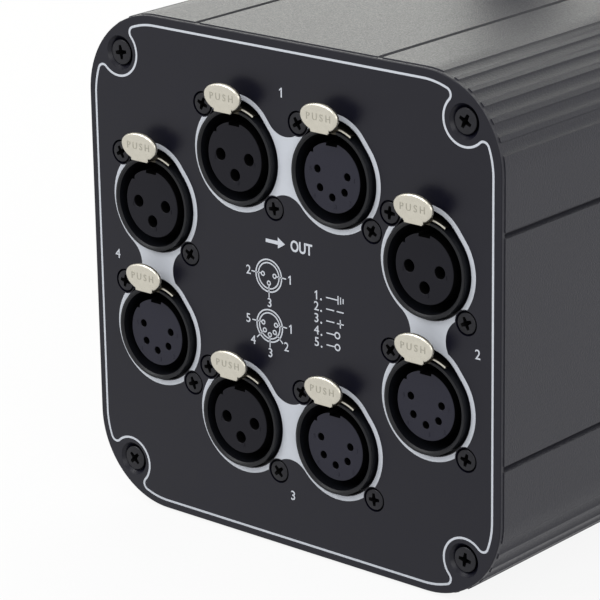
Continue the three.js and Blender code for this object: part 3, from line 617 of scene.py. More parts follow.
diagram("diagram_3pin", -5.35, 4.6, [(1.65, 0.2), (-1.65, 0.2), (0, -1.65)],
        [(2.2, 0.2, 4.9, 0.2), (-2.2, 0.2, -4.9, 0.2), (0, -2.2, 0, -4.9)],
        [("1", 5.95, 0.2), ("2", -5.75, 0.2), ("3", 0.1, -6.15)])
diagram("diagram_5pin", -5.35, -6.7, [(1.8, 0.5), (-1.8, 0.5), (1.4, -1.2), (-1.4, -1.2), (0, -2.0)],
        [(2.4, 0.5, 4.9, 0.5), (-2.4, 0.5, -4.9, 0.5), (1.9, -1.6, 3.7, -3.3), (-1.9, -1.6, -3.7, -3.3),
         (0, -2.5, 0, -4.9)],
        [("1", 5.95, 0.5), ("5", -6.05, 0.5), ("2", 4.65, -3.9), ("4", -4.75, -4.2), ("3", 0.1, -6.2)])

# %% Legend: what each pin carries, as wiring symbols, and the heading
def legend_row(digit, z):
    left, top = 7.5, 1.0
    line = left + 6.3
    parts = [figure(digit, FIGURE, left + 0.4, z), ring(left + 1.7, z - 0.75, 0.24, 0.02, 12),
             bar(left + 3.1, z, line if digit == "1" else left + 5.3, z)]
    if digit == "1":
        parts += [bar(line + step, z - top + 0.3 * step, line + step, z + top - 0.3 * step) for step in (0.1, 0.8, 1.5)]
    if digit in "23":
        parts.append(bar(line - 0.3, z, line + 1.6, z))
    if digit == "3":
        parts.append(bar(line + 0.65, z - 0.95, line + 0.65, z + 0.95))
    if digit in "45":
        parts.append(ring(left + 6.1, z, 0.8, 0.5, 32))
    return parts

rows = zip("12345", (3.0, 0.45, -2.2, -4.9, -7.55))
printed(joined("pin_legend", [part for digit, z in rows for part in legend_row(digit, z)]))

arrow = inked("arrow", [(-6.0, -0.4), (-2.6, -0.4), (-2.6, -1.25), (-0.6, 0), (-2.6, 1.25), (-2.6, 0.4), (-6.0, 0.4)])
heading = lettering("word", "OUT", 2.4, 0, 0, "LEFT", bold=0.035)
heading.data.transform(Matrix.Translation((0.9 * MM, 0, 0)) @ Matrix.Diagonal((0.83, 1, 1, 1)))
printed(shifted(joined("heading", [arrow, heading]), 0, 0, 12.45))

# %% [markdown]
# The screws are black, countersunk, with a cross recess. A flat disc with a painted cross would pass from far
# off, but the recess is what catches the light, so a tapered cross is cut into a turned head. The faces deep in
# each cross get a near-black painted shade. All small screws share one mesh; each is turned to its own angle,
# because no one lines screws up.

# %% Screws
SMALL_TOP, CORNER_TOP = -0.12, 0.3

def cross(arm, width, depth, top):
    half, waist = width / 2, width * 0.72
    outline = quartered([(arm, -half), (arm, half), (waist, waist)])
    return stacked("cross", [(scaled(outline, 1.06), top - 0.1 * depth), (scaled(outline, 0.45), top + depth)])

def screw_mesh(name, head, shank, top, length, arm, width):
    crown, rim, skirt = 0.12, 0.1, 0.25
    profile = [(0, top), (head * 0.6, top + 0.02), (head - rim, top + crown), (head, top + crown + rim),
               (head, top + crown + rim + skirt), (shank, top + crown + rim + skirt + head - shank),
               (shank, length - shank / 2), (shank / 2, length), (0, length)]
    return shaded(cut(turned(name, profile, 48), cross(arm, width, 1.2 * arm, top)), 30)

black_screw = finish("black_oxide", (0.012, 0.012, 0.0155), 0.38, metallic=0.4, drift=0.25, drift_size=0.9,
                     grain=0.15, bump=0.15, shine=0.35)
# Near-black painted shade for the faces deep in recesses and holes.
painted_recess_shade = finish("painted_recess_shade", (0.0015, 0.0015, 0.0017), 0.6, drift=0.2, drift_size=0.5, grain=0.1, shine=0.08)

def in_a_cross(top, arm):
    return lambda place, normal: place.y > top + 0.06 and math.hypot(place.x, place.z) < arm

def copies(pattern, places, material, slot):
    pieces = [pattern] + [pattern.copy() for _ in places[1:]]
    for piece in pieces[1:]:
        bpy.context.scene.collection.objects.link(piece)
    for piece, (name, x, z, rear, turn, body, replaced) in zip(pieces, places):
        piece.name = name
        seated(piece, x, z, rear)
        piece.matrix_world = piece.matrix_world @ Matrix.Rotation(math.radians(turn), 4, "Y")
        dressed(piece, material, slot, body, replaced)
    return len(places)

def at_sockets(names, ending, node=None, body=None):
    return [(f"{name}_{ending}", *sockets[name], 0, f"latch_{name}" if body else "splitter",
             [f"{name}_{node}"] if node else []) for name in names]

small_places = []
for number, (socket, (x, z, rear)) in enumerate(sockets.items()):
    for ear, (dx, dz) in enumerate(EARS):
        turn = (37 * number + 61 * ear + 20) % 90
        small_places.append((f"{socket}_fixing_{ear + 1}", x + dx, z + dz, rear, turn, "splitter", ()))
small = screw_mesh("fixing", head=2.3, shank=1.38, top=SMALL_TOP, length=3.9, arm=1.45, width=0.66)
print("small screws:", copies(small, small_places, black_screw, "screw"))
# The faces deep in each cross get the near-black painted shade.
two_tone(small, painted_recess_shade, in_a_cross(SMALL_TOP, 1.3))

corner_places = []
for rear, side in ((False, "front"), (True, "rear")):
    for number, (x, z) in enumerate(CORNERS):
        node = f"{side}_screw_{number + 1}"
        turn = (53 * number + 28) % 90
        corner_places.append((f"{node}_crossed", x * PORT_AT, z * PORT_AT, rear, turn, "splitter", [node]))
corner = screw_mesh("corner_screw", head=2.75, shank=1.9, top=CORNER_TOP, length=14, arm=1.6, width=0.7)
print("corner screws:", copies(corner, corner_places, black_screw, "screw"))
# The faces deep in each cross get the near-black painted shade.
two_tone(corner, painted_recess_shade, in_a_cross(CORNER_TOP, 1.4))

# %% [markdown]
# A round chassis socket is a die-cast shell that sits behind the plate: a flange with two ears, a sleeve whose
# rim shows through the hole, and at the top, behind the plate, a hood with a slot for the release latch. It
# could be one lathe shape with a box on top, but the slot is open to the front and shows, so the pieces are
# fused and the slot is cut through, as in the real casting.

# %% Shell of a female socket
SLEEVE, BORE, MALE_BORE = 10.56, 9.65, 8.15
RIM_PROUD, RIM_ROUND, RIM_CHAMFER = 1.6, 0.15, 0.36
SHELL_DEPTH = 20
FLANGE, EAR = 11.9, 3.2
HOOD_HALF, HOOD_TOP, HOOD_BACK = 6.6, 13.4, 6.4
SLOT_HALF, SLOT_TOP, SLOT_BACK = 5.8, 12.35, 5.1
WAY_HALF, WAY_BACK = 1.8, 1.7
LATCH_IN, LATCH_OUT = 10.85, 11.35

def sleeve(bore):
    rim = dome(RIM_ROUND, -RIM_PROUD, RIM_ROUND, 5, SLEEVE - RIM_ROUND)
    return turned("sleeve", [(bore, RIM_CHAMFER - RIM_PROUD), (bore + RIM_CHAMFER, -RIM_PROUD), *rim,
                             (SLEEVE, SHELL_DEPTH), (bore, SHELL_DEPTH)])

def flange():
    meet_at = math.degrees(math.asin(EAR / FLANGE))
    outline = (arc(0, 0, FLANGE, -45 + meet_at, 135 - meet_at, 30) + arc(*EARS[0], EAR, 45, 225, 14)
               + arc(0, 0, FLANGE, 135 + meet_at, 315 - meet_at, 30) + arc(*EARS[1], EAR, 225, 405, 14))
    return drawn("flange", outline, PLATE, 2 * PLATE)

def roofed(foot, half, top):
    side = math.degrees(math.asin(half / foot))
    return [*arc(0, 0, foot, 90 + side, 90 - side, 12), (half, top), (-half, top)]

def female_shell(name):
    clear = (SLEEVE + BORE) / 2
    ring_back = cut(flange(), rod("clear", clear, 0, 9))
    block = drawn("block", roofed(clear, HOOD_HALF, HOOD_TOP), PLATE, HOOD_BACK)
    well = drawn("well", roofed(SLEEVE, SLOT_HALF, SLOT_TOP), PLATE - 0.5, SLOT_BACK)
    way = drawn("way", rectangle(-WAY_HALF, WAY_HALF, 9, SLOT_TOP), -3, WAY_BACK)
    return shaded(cut(fused(sleeve(BORE), ring_back, block), well, way), 30, name)

cast = finish("black_casting", (0.004, 0.0045, 0.0065), 0.42, drift=0.15, drift_size=5, grain=0.3, bump=0.1,
              shine=0.26)
plain = female_shell("female_shell")
made = copies(plain, at_sockets(FEMALES, "cast_shell", "shell"), cast, "shell")
print("female shells:", made, "with", len(plain.data.polygons), "faces each")

# %% [markdown]
# The insert is the moulded plug of plastic inside the shell: a disc with the contact holes, a key notch at the
# top and a small pointed notch beside it. Every side wall of the insert, in its holes, its notches and round its
# edge, is coloured near-black as painted shade, and only a narrow rim round each hole keeps the plastic's colour.
# The pin numbers stand a little proud beside the holes. Deep in the holes sit the turned contacts, as thin tubes,
# their metal darkened with painted shade.

# %% Insert with its contacts
INSERT, INSERT_BASE, INSERT_END = 7.6, 15.5, 23
INSERT_PROUD = {3: 1.2, 5: 0.88}
KEY_WIDTH, KEY_DEPTH, NOTCH, NOTCH_TURN = 3.0, 0.8, 0.7, -136
CONTACTS = {3: (4, 1.32, (180, 270, 0)), 5: (4.2, 0.82, (161, 218, 270, 322, 12))}
CONTACT_HOLE, TUBE_START, TUBE_END = 12, 3.2, 10.5

def contact_places(count):
    circle, radius, turns = CONTACTS[count]
    return [(circle * math.cos(math.radians(turn)), circle * math.sin(math.radians(turn)), radius) for turn in turns]

def at_contacts(count, make):
    return [shifted(make(radius), x, 0, z) for x, z, radius in contact_places(count)]

def insert(name, count):
    front, base = -INSERT_PROUD[count], INSERT_BASE
    body = turned(name, [(0, front), *soft_edge(INSERT, front, 0.3, 0.09), (INSERT, base), (BORE - PLAY, base),
                         (BORE - PLAY, INSERT_END), (0, INSERT_END)])

    def contact_hole(radius):
        hole, end = radius + 0.05, front + CONTACT_HOLE
        mouth = hole + 0.1
        return turned("hole", [(0, front - 1), (mouth, front - 1), (mouth, front), (hole, front + 0.1), (hole, end),
                               (0, end)], 32)

    key = rectangle(-KEY_WIDTH / 2, KEY_WIDTH / 2, INSERT - KEY_DEPTH, INSERT + 1)
    point = [(INSERT - NOTCH, 0), (INSERT + NOTCH, -1.4), (INSERT + NOTCH, 1.4)]
    notches = [drawn("key", key, front - 1, base), shifted(drawn("point", point, front - 1, base), turn=NOTCH_TURN)]
    return shaded(cut(body, *at_contacts(count, contact_hole), *notches), 30)

# Picks every side wall of the insert, which gets the near-black painted shade.
def on_a_wall(place, normal):
    return abs(normal.y) < 0.5

fine_plastic = dict(roughness=0.5, drift=0.06, drift_size=5, grain=0.12, bump=0.06)
moulded = {3: finish("insert_plastic_3", (0.0025, 0.0024, 0.006), shine=0.18, **fine_plastic),
           5: finish("insert_plastic_5", (0.0125, 0.0125, 0.022), shine=0.22, **fine_plastic)}
DIGITS = {3: ("231", 1.42), 5: ("54321", 1.47)}

def insert_digits(name, count):
    digits, out = DIGITS[count]
    proud = INSERT_PROUD[count]
    parts = []
    for digit, (x, z, _) in zip(digits, contact_places(count)):
        at_the_foot = abs(x) < 0.1
        x, z = (x * out * 0.94 + 0.9, z * out) if at_the_foot else (x * out, z * out - 0.9)
        parts.append(lettering("digit", digit, 1.0, x, z, raised=proud + 0.06, sunk=0.05 - proud, bold=0.0))
    return joined(name, parts)

with_pins = {count: [name for name in FEMALES if name.endswith(f"{count}pin")] for count in (3, 5)}
for count, names in with_pins.items():
    plug = insert(f"insert_{count}", count)
    copies(plug, at_sockets(names, "moulded_insert", "insert"), moulded[count], "insert")
    # The insert's side walls get the near-black painted shade.
    two_tone(plug, painted_recess_shade, on_a_wall)
    copies(insert_digits(f"marks_{count}", count), at_sockets(names, "pin_digits"), moulded[count], "insert")
    print(count, "pin inserts:", len(names))

# %% Contact tubes deep in the holes, their metal darkened with painted shade
# Tin far darker than plating, as painted shade deep in the holes.
painted_shade_tin = finish("contact_metal_painted_shade", (0.07, 0.065, 0.055), 0.4, metallic=0.9, drift=0.2, drift_size=1, grain=0.1, bump=0.1)

def contact_tube(radius):
    outer, inner = radius + 0.03, radius - 0.14
    return turned("tube", [(inner, TUBE_START + 0.2), (outer, TUBE_START), (outer, TUBE_END), (inner, TUBE_END)], 24)

for count, names in with_pins.items():
    tubes = joined(f"tubes_{count}", at_contacts(count, contact_tube))
    print(count, "pin contact sets:", copies(tubes, at_sockets(names, "contacts"), painted_shade_tin, "pins"))

# %% [markdown]
# The release latch is stamped from nickel silver sheet: a curved plate that lies in the hood's slot, a neck that
# comes out of it, and an oval tab bent up at the end, with a hook that dips into the socket. The tab could be a
# flattened sphere, but it is sheet metal: flat, with a crisp rounded rim, and the bend below it is what flashes
# white under the lamps. So the neck is a strip swept round the bend and the tab is a pressed oval.

# %% Latch: the tab's outline, wide above and drawn in to a straight lower edge
TAB_HALF, TAB_MIDDLE, TAB_UP, TAB_DOWN = 5.05, 14.05, 2.78, 3.4
TAB_LOW, TAB_PROUD, TAB_FOOT = 10.55, 4.6, 2.35
SHEET, BEND, TAB_ASIDE, TAB_BELOW = 0.5, 0.35, 0.5, 0.25
PIVOT_DEPTH, PIVOT_RADIUS = 3, 0.6
LATCH_HALF, LATCH_PROUD, TOOTH_HALF = 5.6, 1.3, 1.5

def tab_outline(inset):
    points = []
    for i in range(97):
        angle = math.radians(-63 + 306 * i / 96)
        rise = TAB_UP if math.sin(angle) > 0 else TAB_DOWN
        points.append(((TAB_HALF - inset) * math.cos(angle), TAB_MIDDLE + (rise - inset) * math.sin(angle)))
    low, foot = TAB_LOW + inset * 0.3, TAB_FOOT - inset
    side = [(foot, low), (foot + 0.02, low + 0.35)]
    return [(-x, z) for x, z in reversed(side)] + side + points

def tab():
    layers = []
    for depth, inset in ((0.05, 0.55), (0.08, 0.36), (0.17, 0.18), (0.32, 0.05), (0.46, 0), (0.85, 0), (1.0, 0.12)):
        layers.append(([(x - TAB_ASIDE, z - TAB_BELOW) for x, z in tab_outline(inset)], depth - TAB_PROUD))
    return stacked("tab", layers)

# %% Latch: the neck, a strip that bends back from the tab's lower edge, over the rim and into the hood
def neck():
    front, top = 0.06 - TAB_PROUD, TAB_LOW + 1.4
    foot, start = -LATCH_PROUD - 0.8, 0.3 - LATCH_PROUD
    outer = arc(front + BEND, TAB_LOW + BEND, BEND, 180, 270, 8)
    profile = [(front, top), *outer, (foot, TAB_LOW), (-LATCH_PROUD, LATCH_IN), (start, LATCH_IN), (start, LATCH_OUT),
               (-LATCH_PROUD, LATCH_OUT), (foot, TAB_LOW + SHEET), (front + SHEET + 0.2, TAB_LOW + SHEET),
               (front + SHEET, TAB_LOW + SHEET + 0.2), (front + SHEET, top)]
    points = [(x, depth, z) for x in (-TAB_FOOT, TAB_FOOT) for depth, z in profile]
    count = len(profile)
    faces = [list(range(count)), list(range(count, 2 * count))]
    faces += [[i, (i + 1) % count, count + (i + 1) % count, count + i] for i in range(count)]
    return solid("neck", points, faces)

# %% Latch: plate, pivot and tooth
def latch(name):
    edge = math.degrees(math.asin(LATCH_HALF / LATCH_OUT))
    outline = arc(0, 0, LATCH_OUT, 90 - edge, 90 + edge, 20) + arc(0, 0, LATCH_IN, 90 + edge, 90 - edge, 20)
    plate = eased(drawn("plate", outline, -LATCH_PROUD, PIVOT_DEPTH), 0.1)
    barrel = tipped(rod("barrel", PIVOT_RADIUS, -LATCH_HALF, LATCH_HALF, 20), "Z")
    shifted(barrel, 0, PIVOT_DEPTH, LATCH_IN + PIVOT_RADIUS)
    hook = rectangle(-TOOTH_HALF, TOOTH_HALF, BORE - 0.35, LATCH_OUT - SHEET / 2)
    tooth = eased(drawn("tooth", hook, -0.5, 0.9), 0.1)
    return shaded(fused(plate, neck(), tab(), barrel, tooth), 38, name)

nickel = finish("nickel_silver", (0.586, 0.56, 0.485), 0.34, metallic=1, drift=0.09, drift_size=1.1, grain=0.3,
                bump=0.2, stretch=(1.4, 1.4, 0.5), rough_drift=0.08)
# Dark nickel: painted shade for the latch's faces that lie back in the hood's slot.
nickel_painted_slot_shade = finish("nickel_in_painted_slot_shade", (0.05, 0.045, 0.035), 0.35, metallic=1, drift=0.3, drift_size=0.8,
                       grain=0.3, bump=0.2)
stamped = latch("stamped_latch")
made = copies(stamped, at_sockets(FEMALES, "stamped_latch", "latch", body=True), nickel, "latch")

# Faces behind the tab take the painted shade; only front faces outside the neck's width keep the bright nickel.
def in_the_slot(place, normal):
    return place.y > 1.1 - TAB_PROUD and (normal.y > -0.6 or abs(place.x) < TAB_FOOT + 0.05)

two_tone(stamped, nickel_painted_slot_shade, in_the_slot)
print("latches:", made, "with", len(stamped.data.polygons), "faces each")

# %% Latch: the word that is pressed into each tab, a little darker than the polished face
pressed = finish("pressed_letters", (0.40, 0.385, 0.33), 0.45, metallic=1, drift=0.1, drift_size=0.8, grain=0.2,
                 bump=0.2)
word = lettering("push", "PUSH", 1.5, 0.1 - TAB_ASIDE, 13.9 - TAB_BELOW, raised=TAB_PROUD - 0.01,
                 sunk=0.2 - TAB_PROUD, spread=1.5)
print("words:", copies(word, at_sockets(FEMALES, "pressed_word", body=True), pressed, "latch"))

# %% [markdown]
# The rear panel is the twin of the front one. In its upper row are the two input sockets, with pins in a deep
# cup, and the two sockets that pass the signal on. Below sit the mains inlet and outlet with the fuse between
# them. The same helpers make it, with round holes where a socket has no latch.

# %% Rear panel with its holes and prints
COUPLER_X, COUPLER_Z = 31, -25
COUPLER_BODY = 11.7
FUSE_BODY = 6.2
LIGHT_PITCH, LIGHT_RADIUS = 8, 1.5
LIGHT_Z = middle("light_pipe").z - MIDDLE_Z
light_xs = [(i - 2) * LIGHT_PITCH for i in range(5)]

def hole_at(x, z, radius, steps):
    return shifted(rod("hole", radius, -1, PLATE + 1, steps), x, 0, z)

holes = [hole_at(side * COUPLER_X, COUPLER_Z, COUPLER_BODY + PLAY, 96) for side in (1, -1)]
holes += [hole_at(0, COUPLER_Z, FUSE_BODY + PLAY, 48)] + [hole_at(x, LIGHT_Z, LIGHT_RADIUS + 0.2, 32) for x in light_xs]
# The rear plate's narrow side takes the same painted highlight.
two_tone(dressed(panel("rear_plate", True, holes), satin, "panel", replaces=["rear_panel"]), anodised, on_the_side)
border("rear_border", True)
ring_print("in_5pin", "in_3pin", WEB_ACROSS)
ring_print("thru_3pin", "thru_5pin", WEB_ACROSS)
print("rear plate done, lights at", round(LIGHT_Z, 2), "mm from its middle")

# %% Input sockets: shell, moulded floor and turned pins
CUP, PIN_TIP = 12, 1

def male_shell(name):
    ring_back = cut(flange(), rod("clear", (SLEEVE + MALE_BORE) / 2, 0, 9))
    return shaded(fused(sleeve(MALE_BORE), ring_back), 30, name)

def male_floor(name):
    edge = MALE_BORE - PLAY
    return shaded(turned(name, [(0, CUP), (edge - 0.2, CUP), (edge, CUP + 0.2), (edge, INSERT_END), (0, INSERT_END)]))

def contact_pin(radius):
    return turned("pin", dome(radius, PIN_TIP, radius, 6) + [(radius, CUP + 1), (0, CUP + 1)], 24)

silver = finish("silvered_pins", (0.62, 0.61, 0.58), 0.22, metallic=1, drift=0.06, drift_size=2, grain=0.1, bump=0.05)
copies(male_shell("male_shell"), at_sockets(MALES, "cast_shell", "shell"), cast, "shell")
for count, name in ((3, "in_3pin"), (5, "in_5pin")):
    copies(male_floor("floor"), at_sockets([name], "moulded_floor", "pins"), moulded[count], "insert")
    copies(shaded(joined("pins", at_contacts(count, contact_pin))), at_sockets([name], "turned_pins"), silver, "pins")
print("input sockets:", len(MALES))

# %% [markdown]
# The mains couplers are round locking appliance couplers: a moulded flange on the outside of the panel, a cup,
# and a core with three blade slots. By custom the inlet is blue and the outlet grey. Their corners and rims are
# turned or stacked with round edges, since moulded plastic is never sharp.

# %% Mains couplers
FLANGE_SIZE, FLANGE_THICK, FLANGE_CORNER = (13, 15.5), 2.4, 3
COUPLER_BORE, CORE, COUPLER_DEPTH, COUPLER_BACK = 9.4, 6.4, 20, 2
COUPLER_SCREWS = [(9.5, -12), (-9.5, 12)]
COUPLER_KEY, BLADE_SLOT, BLADE_DEPTH = 1.6, rectangle(-1.8, 1.8, 2.8, 4.0), 9

def coupler_shell(name):
    plate = rounded_plate("plate", *FLANGE_SIZE, FLANGE_CORNER, 0.7, -FLANGE_THICK, 0, 10, 5)
    cup = turned("cup", [(0, -0.3), (COUPLER_BODY, -0.3), (COUPLER_BODY, COUPLER_DEPTH), (0, COUPLER_DEPTH)])
    mouth, back = COUPLER_BORE + 0.6, COUPLER_DEPTH - COUPLER_BACK
    hollow = turned("hollow", [(0, -9), (mouth, -9), (mouth, -FLANGE_THICK), (COUPLER_BORE, 0.6 - FLANGE_THICK),
                               (COUPLER_BORE, back), (0, back)])
    profile = [(0, -9), (2.9, -9), (2.9, 0.3 - FLANGE_THICK), (1.5, 1.7 - FLANGE_THICK), (1.5, 9), (0, 9)]
    screws = [shifted(turned("screw", profile, 32), x, 0, z) for x, z in COUPLER_SCREWS]
    key_shape = rectangle(-COUPLER_KEY, COUPLER_KEY, COUPLER_BORE - 1.5, COUPLER_BORE + 0.4)
    key = drawn("key", key_shape, 0, COUPLER_DEPTH - 1)
    return shaded(fused(cut(fused(plate, cup), hollow, *screws), key), 30, name)

def coupler_core(name):
    front, back = -1, COUPLER_DEPTH - COUPLER_BACK
    body = turned(name, [(0, front), *soft_edge(CORE, front, 0.4, 0.1), (CORE, back), (0, back)])
    slots = [shifted(drawn("slot", BLADE_SLOT, front - 1, front + BLADE_DEPTH), turn=-120 * i) for i in range(3)]
    return shaded(cut(body, *slots), 30)

inlet_blue, outlet_grey = [finish(f"{name}_plastic", colour, 0.42, drift=0.05, grain=0.15, bump=0.08)
                           for name, colour in (("inlet", (0.022, 0.075, 0.27)), ("outlet", (0.26, 0.27, 0.28)))]
core_black = finish("core_plastic", (0.014, 0.014, 0.016), 0.42, drift=0.08, drift_size=4, grain=0.12, bump=0.08)

for name, colour, slot in (("power_in", inlet_blue, "inlet"), ("power_out", outlet_grey, "outlet")):
    spot = middle(f"{name}_core")
    where = (-spot.x, COUPLER_Z, True, 0, "splitter")
    copies(coupler_shell("coupler"), [(f"{name}_moulded_shell", *where, [f"{name}_shell"])], colour, slot)
    copies(coupler_core("core"), [(f"{name}_moulded_core", *where, [f"{name}_core"])], core_black, "core")
    heads = screw_mesh("coupler_screw", head=2.5, shank=1.4, top=0.35 - FLANGE_THICK, length=5, arm=1.45, width=0.62)
    copies(heads, [(f"{name}_fixing_{i + 1}", -spot.x + x, COUPLER_Z + z, True, 40 + 30 * i, "splitter", [])
                   for i, (x, z) in enumerate(COUPLER_SCREWS)], black_screw, "screw")
print("mains couplers: 2")

# %% [markdown]
# The fuse holder has a flat bezel and a cap that a coin turns: a sixth of a turn frees it. The cap rides
# on its own body, so that it turns with its joint. Its grip ribs are drawn as a wavy outline, stacked with a
# rounded front, which is how a moulder would draw it too.

# %% Fuse holder and cap
BEZEL, BEZEL_THICK, FUSE_BORE, FUSE_DEPTH = 7.6, 2, 4.5, 25
CAP_RADIUS, CAP_HEIGHT, CAP_RIBS = 5.6, 6.5, 24
COIN_SLOT, COIN_DEPTH = rectangle(-9, 9, -0.7, 0.7), 1.6

def fuse_holder(name):
    front = -BEZEL_THICK
    return shaded(turned(name, [(FUSE_BORE, front), *soft_edge(BEZEL, front, 0.5, 0.15), (BEZEL, 0), (FUSE_BODY, 0),
                                (FUSE_BODY, FUSE_DEPTH), (0, FUSE_DEPTH), (0, FUSE_DEPTH - 2),
                                (FUSE_BORE, FUSE_DEPTH - 2)], 64), 30)

def ribbed(radius, depth):
    count = CAP_RIBS * 6
    reaches = [radius - depth * (0.5 - 0.5 * math.cos(math.tau * i / 6)) for i in range(count)]
    return [(reach * math.cos(math.tau * i / count), reach * math.sin(math.tau * i / count))
            for i, reach in enumerate(reaches)]

def fuse_cap(name):
    back = -BEZEL_THICK - 0.3
    front = back - CAP_HEIGHT
    rows = ((1.0, 0, front), (0.45, 0.05, front + 0.12), (0.12, 0.2, front + 0.5), (0, 0.3, front + 1.0),
            (0, 0.3, back - 0.4), (0.3, 0.1, back))
    body = stacked(name, [(ribbed(CAP_RADIUS - inset, rib), depth) for inset, rib, depth in rows])
    plug = rod("plug", FUSE_BORE - 0.3, back - 0.5, back + 9, 48)
    coin = drawn("coin", COIN_SLOT, front - 1, front + COIN_DEPTH)
    return shaded(cut(fused(body, plug), coin), 35)

fuse_spot = (0, COUPLER_Z, True, 0)
cap_black = finish("cap_plastic", (0.012, 0.012, 0.013), 0.38, drift=0.08, drift_size=3, grain=0.12, bump=0.1)
copies(fuse_holder("holder"), [("fuse_holder_moulded", *fuse_spot, "splitter", ["fuse_holder"])], core_black, "core")
copies(fuse_cap("cap"), [("fuse_cap_ribbed", *fuse_spot, "cap", ["fuse_cap"])], cap_black, "cap")
print("fuse holder and cap: 2")

# %% [markdown]
# Five clear posts carry the status light from the board to the rear panel. They are one moulded light pipe: a
# bar with domed posts. Clear plastic needs a shader that lets light through; a pale solid colour would look
# like chalk.

# %% Light pipe
def light_pipe(name):
    half, height = 2 * LIGHT_PITCH + 3, 2
    spine = eased(drawn("spine", rectangle(-half, half, -height, height), 4, 6), 0.3)
    profile = dome(LIGHT_RADIUS, -0.6, 0.5, 6) + [(LIGHT_RADIUS, 5), (0, 5)]
    return shaded(fused(spine, *[shifted(turned("post", profile, 32), x) for x in light_xs]), 35)

clear = finish("clear_plastic", (0.80, 0.84, 0.82), 0.12, drift=0.03, drift_size=3, grain=0.2, bump=0.03,
               rough_drift=0.03)
filled(clear.node_tree, clear.node_tree.nodes["Principled BSDF"], {"Transmission Weight": 0.6, "IOR": 1.49})
copies(light_pipe("pipe"), [("light_pipe_clear", 0, LIGHT_Z, True, 0, "splitter", ["light_pipe"])], clear, "light")
print("light posts:", len(light_xs))

# %% [markdown]
# The strap on top takes a truss clamp. It is flat steel bent four times, so one outline in X and Z, drawn across
# its width, gives it true bends of one radius. Bevelled edges and a coat of black powder do the rest, and two
# socket head bolts hold its feet.

# %% Truss bracket
TOP = HOUSING_HIGH.z
STRAP_LOW, STRAP_HIGH = (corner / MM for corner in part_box("truss_bracket"))
STRAP_SHEET, STRAP_SPAN, STRAP_BEND = 3, 24, 5
CLAMP_HOLE, SAFETY_HOLE = 5.5, 5
STRAP_RISE, STRAP_END = STRAP_HIGH.z - TOP, STRAP_HIGH.x
BOLT_X = (STRAP_SPAN + STRAP_END) / 2

def strap(name):
    span, sheet, bend, steps = STRAP_SPAN, STRAP_SHEET, STRAP_BEND, 8
    inner, crown = span - sheet, STRAP_RISE - bend
    outline = [(STRAP_END, 0), (STRAP_END, sheet), *arc(span + bend - sheet, bend, bend - sheet, 270, 180, steps),
               *arc(span - bend, crown, bend, 0, 90, steps), *arc(bend - span, crown, bend, 90, 180, steps),
               *arc(sheet - span - bend, bend, bend - sheet, 0, -90, steps), (-STRAP_END, sheet), (-STRAP_END, 0),
               *arc(-inner - bend, bend, bend, 270, 360, steps),
               *arc(bend - sheet - inner, crown, bend - sheet, 180, 90, steps),
               *arc(inner - bend + sheet, crown, bend - sheet, 90, 0, steps),
               *arc(inner + bend, bend, bend, 180, 270, steps)]
    body = drawn(name, outline, STRAP_LOW.y, STRAP_HIGH.y)
    clamp_hole, safety_hole = [tipped(rod("hole", radius, -9, 9, 64), axis)
                               for radius, axis in ((CLAMP_HOLE, "X"), (SAFETY_HOLE, "Z"))]
    cut(body, shifted(clamp_hole, 0, 0, STRAP_RISE), shifted(safety_hole, span, 0, STRAP_RISE / 2))
    return shaded(shifted(eased(body, 0.35, 3, 50), 0, 0, TOP), 30)

def socket_bolt(name):
    head, height, shank = 4.4, 3.6, 2.5
    profile = [(0, -height), (head - 0.5, -height), (head - 0.12, 0.14 - height), (head, 0.5 - height), (head, -0.15),
               (head - 0.15, 0), (shank, 0), (shank, 9 - 0.6), (shank - 0.6, 9), (0, 9)]
    hexagon = arc(0, 0, 2, 0, 300, 5)
    socket = stacked("socket", [(scaled(hexagon, 1.15), -height - 0.1), (hexagon, 0.2 - height), (hexagon, 2 - height)])
    return shaded(cut(turned(name, profile, 64), socket), 30)

powder = finish("black_powder_coat", (0.022, 0.022, 0.024), 0.42, metallic=0.1, drift=0.08, drift_size=12, grain=0.4,
                bump=0.25)
dressed(strap("truss_strap"), powder, "steel", replaces=["truss_bracket"])
for number, side in enumerate((1, -1)):
    node = f"bracket_bolt_{number + 1}"
    bolt = shifted(tipped(socket_bolt(f"{node}_socket_head"), "X", -90), side * BOLT_X, 0, TOP + STRAP_SHEET)
    dressed(bolt, black_screw, "screw", replaces=[node])
print("bracket rise", round(STRAP_RISE, 2), "mm; bolts at", round(BOLT_X, 2), "mm")

# %% [markdown]
# The boards and the transformer lie inside, out of sight once the panels are on. Their CAD solids have the right
# shape, so they stay, and only get better finishes: green laminate with a faint net of tracks, and a varnished
# iron core. A brick texture gives the net of tracks at the right scale.

# %% Inner pieces
laminate = finish("green_laminate", (0.012, 0.09, 0.035), 0.35, drift=0.1, drift_size=15, grain=0.2, bump=0.05)
varnished = finish("varnished_core", (0.09, 0.085, 0.075), 0.4, metallic=0.5, drift=0.2, drift_size=3, grain=0.5,
                   bump=0.4, stretch=(1, 6, 1))
TRACKS = 6

def add_tracks(tree):
    place = tree.nodes.new("ShaderNodeTexCoord").outputs["Object"]
    bricks = added(tree, "TexBrick", {"Vector": place, "Scale": 1 / (TRACKS * MM), "Mortar Size": 0.03,
                                      "Color1": (0.010, 0.080, 0.030, 1), "Color2": (0.014, 0.105, 0.042, 1),
                                      "Mortar": (0.03, 0.17, 0.07, 1)})
    filled(tree, tree.nodes["Principled BSDF"], {"Base Color": bricks.outputs["Color"]})

add_tracks(laminate.node_tree)
for node, material in (("output_board", laminate), ("main_board", laminate), ("power_board", laminate),
                       ("transformer", varnished)):
    coated(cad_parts[node], material)
print("inner pieces: 4")

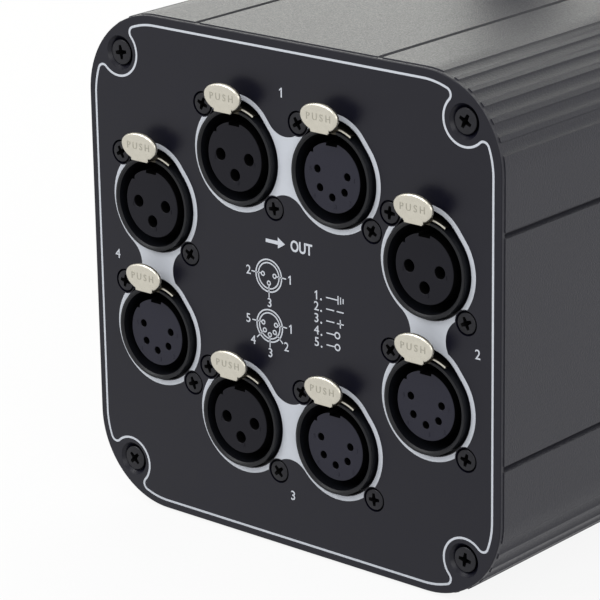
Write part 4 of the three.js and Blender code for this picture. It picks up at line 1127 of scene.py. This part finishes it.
# %% [markdown]
# The studio is plain: a white floor, a white surround and large soft lamps. Black objects show mostly what they
# reflect, so the bright floor in front of the panel and the bright surround behind the top face matter more than
# the lamps. Camera, glossy and transmission rays see the floor and the surround as white paper; the floor still
# takes the object's soft shadow.

# %% Floor and surround
SURROUND, PAPER_GLOW = 0.55, 0.9

def math_of(tree, operation, one, two):
    step = tree.nodes.new("ShaderNodeMath")
    step.operation = operation
    return filled(tree, step, {0: one, 1: two}).outputs[0]

def seen_directly(tree):
    rays = tree.nodes.new("ShaderNodeLightPath").outputs
    seen = math_of(tree, "MAXIMUM", rays["Is Camera Ray"], rays["Is Glossy Ray"])
    return math_of(tree, "MAXIMUM", seen, rays["Is Transmission Ray"])

def blended(tree, share, plain, seen):
    return added(tree, "MixShader", {"Fac": share, 1: plain, 2: seen}).outputs["Shader"]

paper, tree, shader = new_material("paper")
shade = mixed(tree, noise(tree, 40), (0.8, 0.8, 0.8), (0.82, 0.82, 0.82))
filled(tree, shader, {"Roughness": 0.9, "Base Color": shade})
glow = added(tree, "Emission", {"Strength": 1.0})
share = math_of(tree, "MULTIPLY", seen_directly(tree), PAPER_GLOW)
surface = blended(tree, share, shader.outputs["BSDF"], glow.outputs["Emission"])
filled(tree, tree.nodes["Material Output"], {"Surface": surface})
floor = solid("floor", [(x, y, -0.5) for x, y in rectangle(-4000, 4000, -4000, 4000)], [(0, 1, 2, 3)])
coated(floor, paper)

world = bpy.data.worlds.new("studio")
world.use_nodes = True
bpy.context.scene.world = world
tree = world.node_tree
surround = filled(tree, tree.nodes["Background"], {"Color": (1, 1, 1, 1), "Strength": SURROUND})
seen_white = added(tree, "Background", {"Color": (1, 1, 1, 1), "Strength": 1.0})
surface = blended(tree, seen_directly(tree), surround.outputs["Background"], seen_white.outputs["Background"])
filled(tree, tree.nodes["World Output"], {"Surface": surface})
print("floor and surround: 2")

# %% Lamps
def lamp(name, place, target, size, power, tint=(1, 1, 1)):
    data = bpy.data.lights.new(name, "AREA")
    data.shape, data.size, data.size_y = "RECTANGLE", *size
    data.energy, data.color = power, tint
    light = linked(name, data)
    light.location = place
    light.rotation_euler = (Vector(target) - Vector(place)).to_track_quat("-Z", "Y").to_euler()

HEART = (0, 0, 0.06)
lamp("key", (-0.7, -1.1, 1.1), HEART, (0.9, 0.9), 15)
lamp("fill", (1.2, -0.8, 0.7), HEART, (0.8, 1.0), 5)
lamp("back", (-0.6, 1.35, 0.8), (0, 0, 0.11), (2.4, 1.2), 17, (0.99, 1, 0.9))
print("lamps: 3")
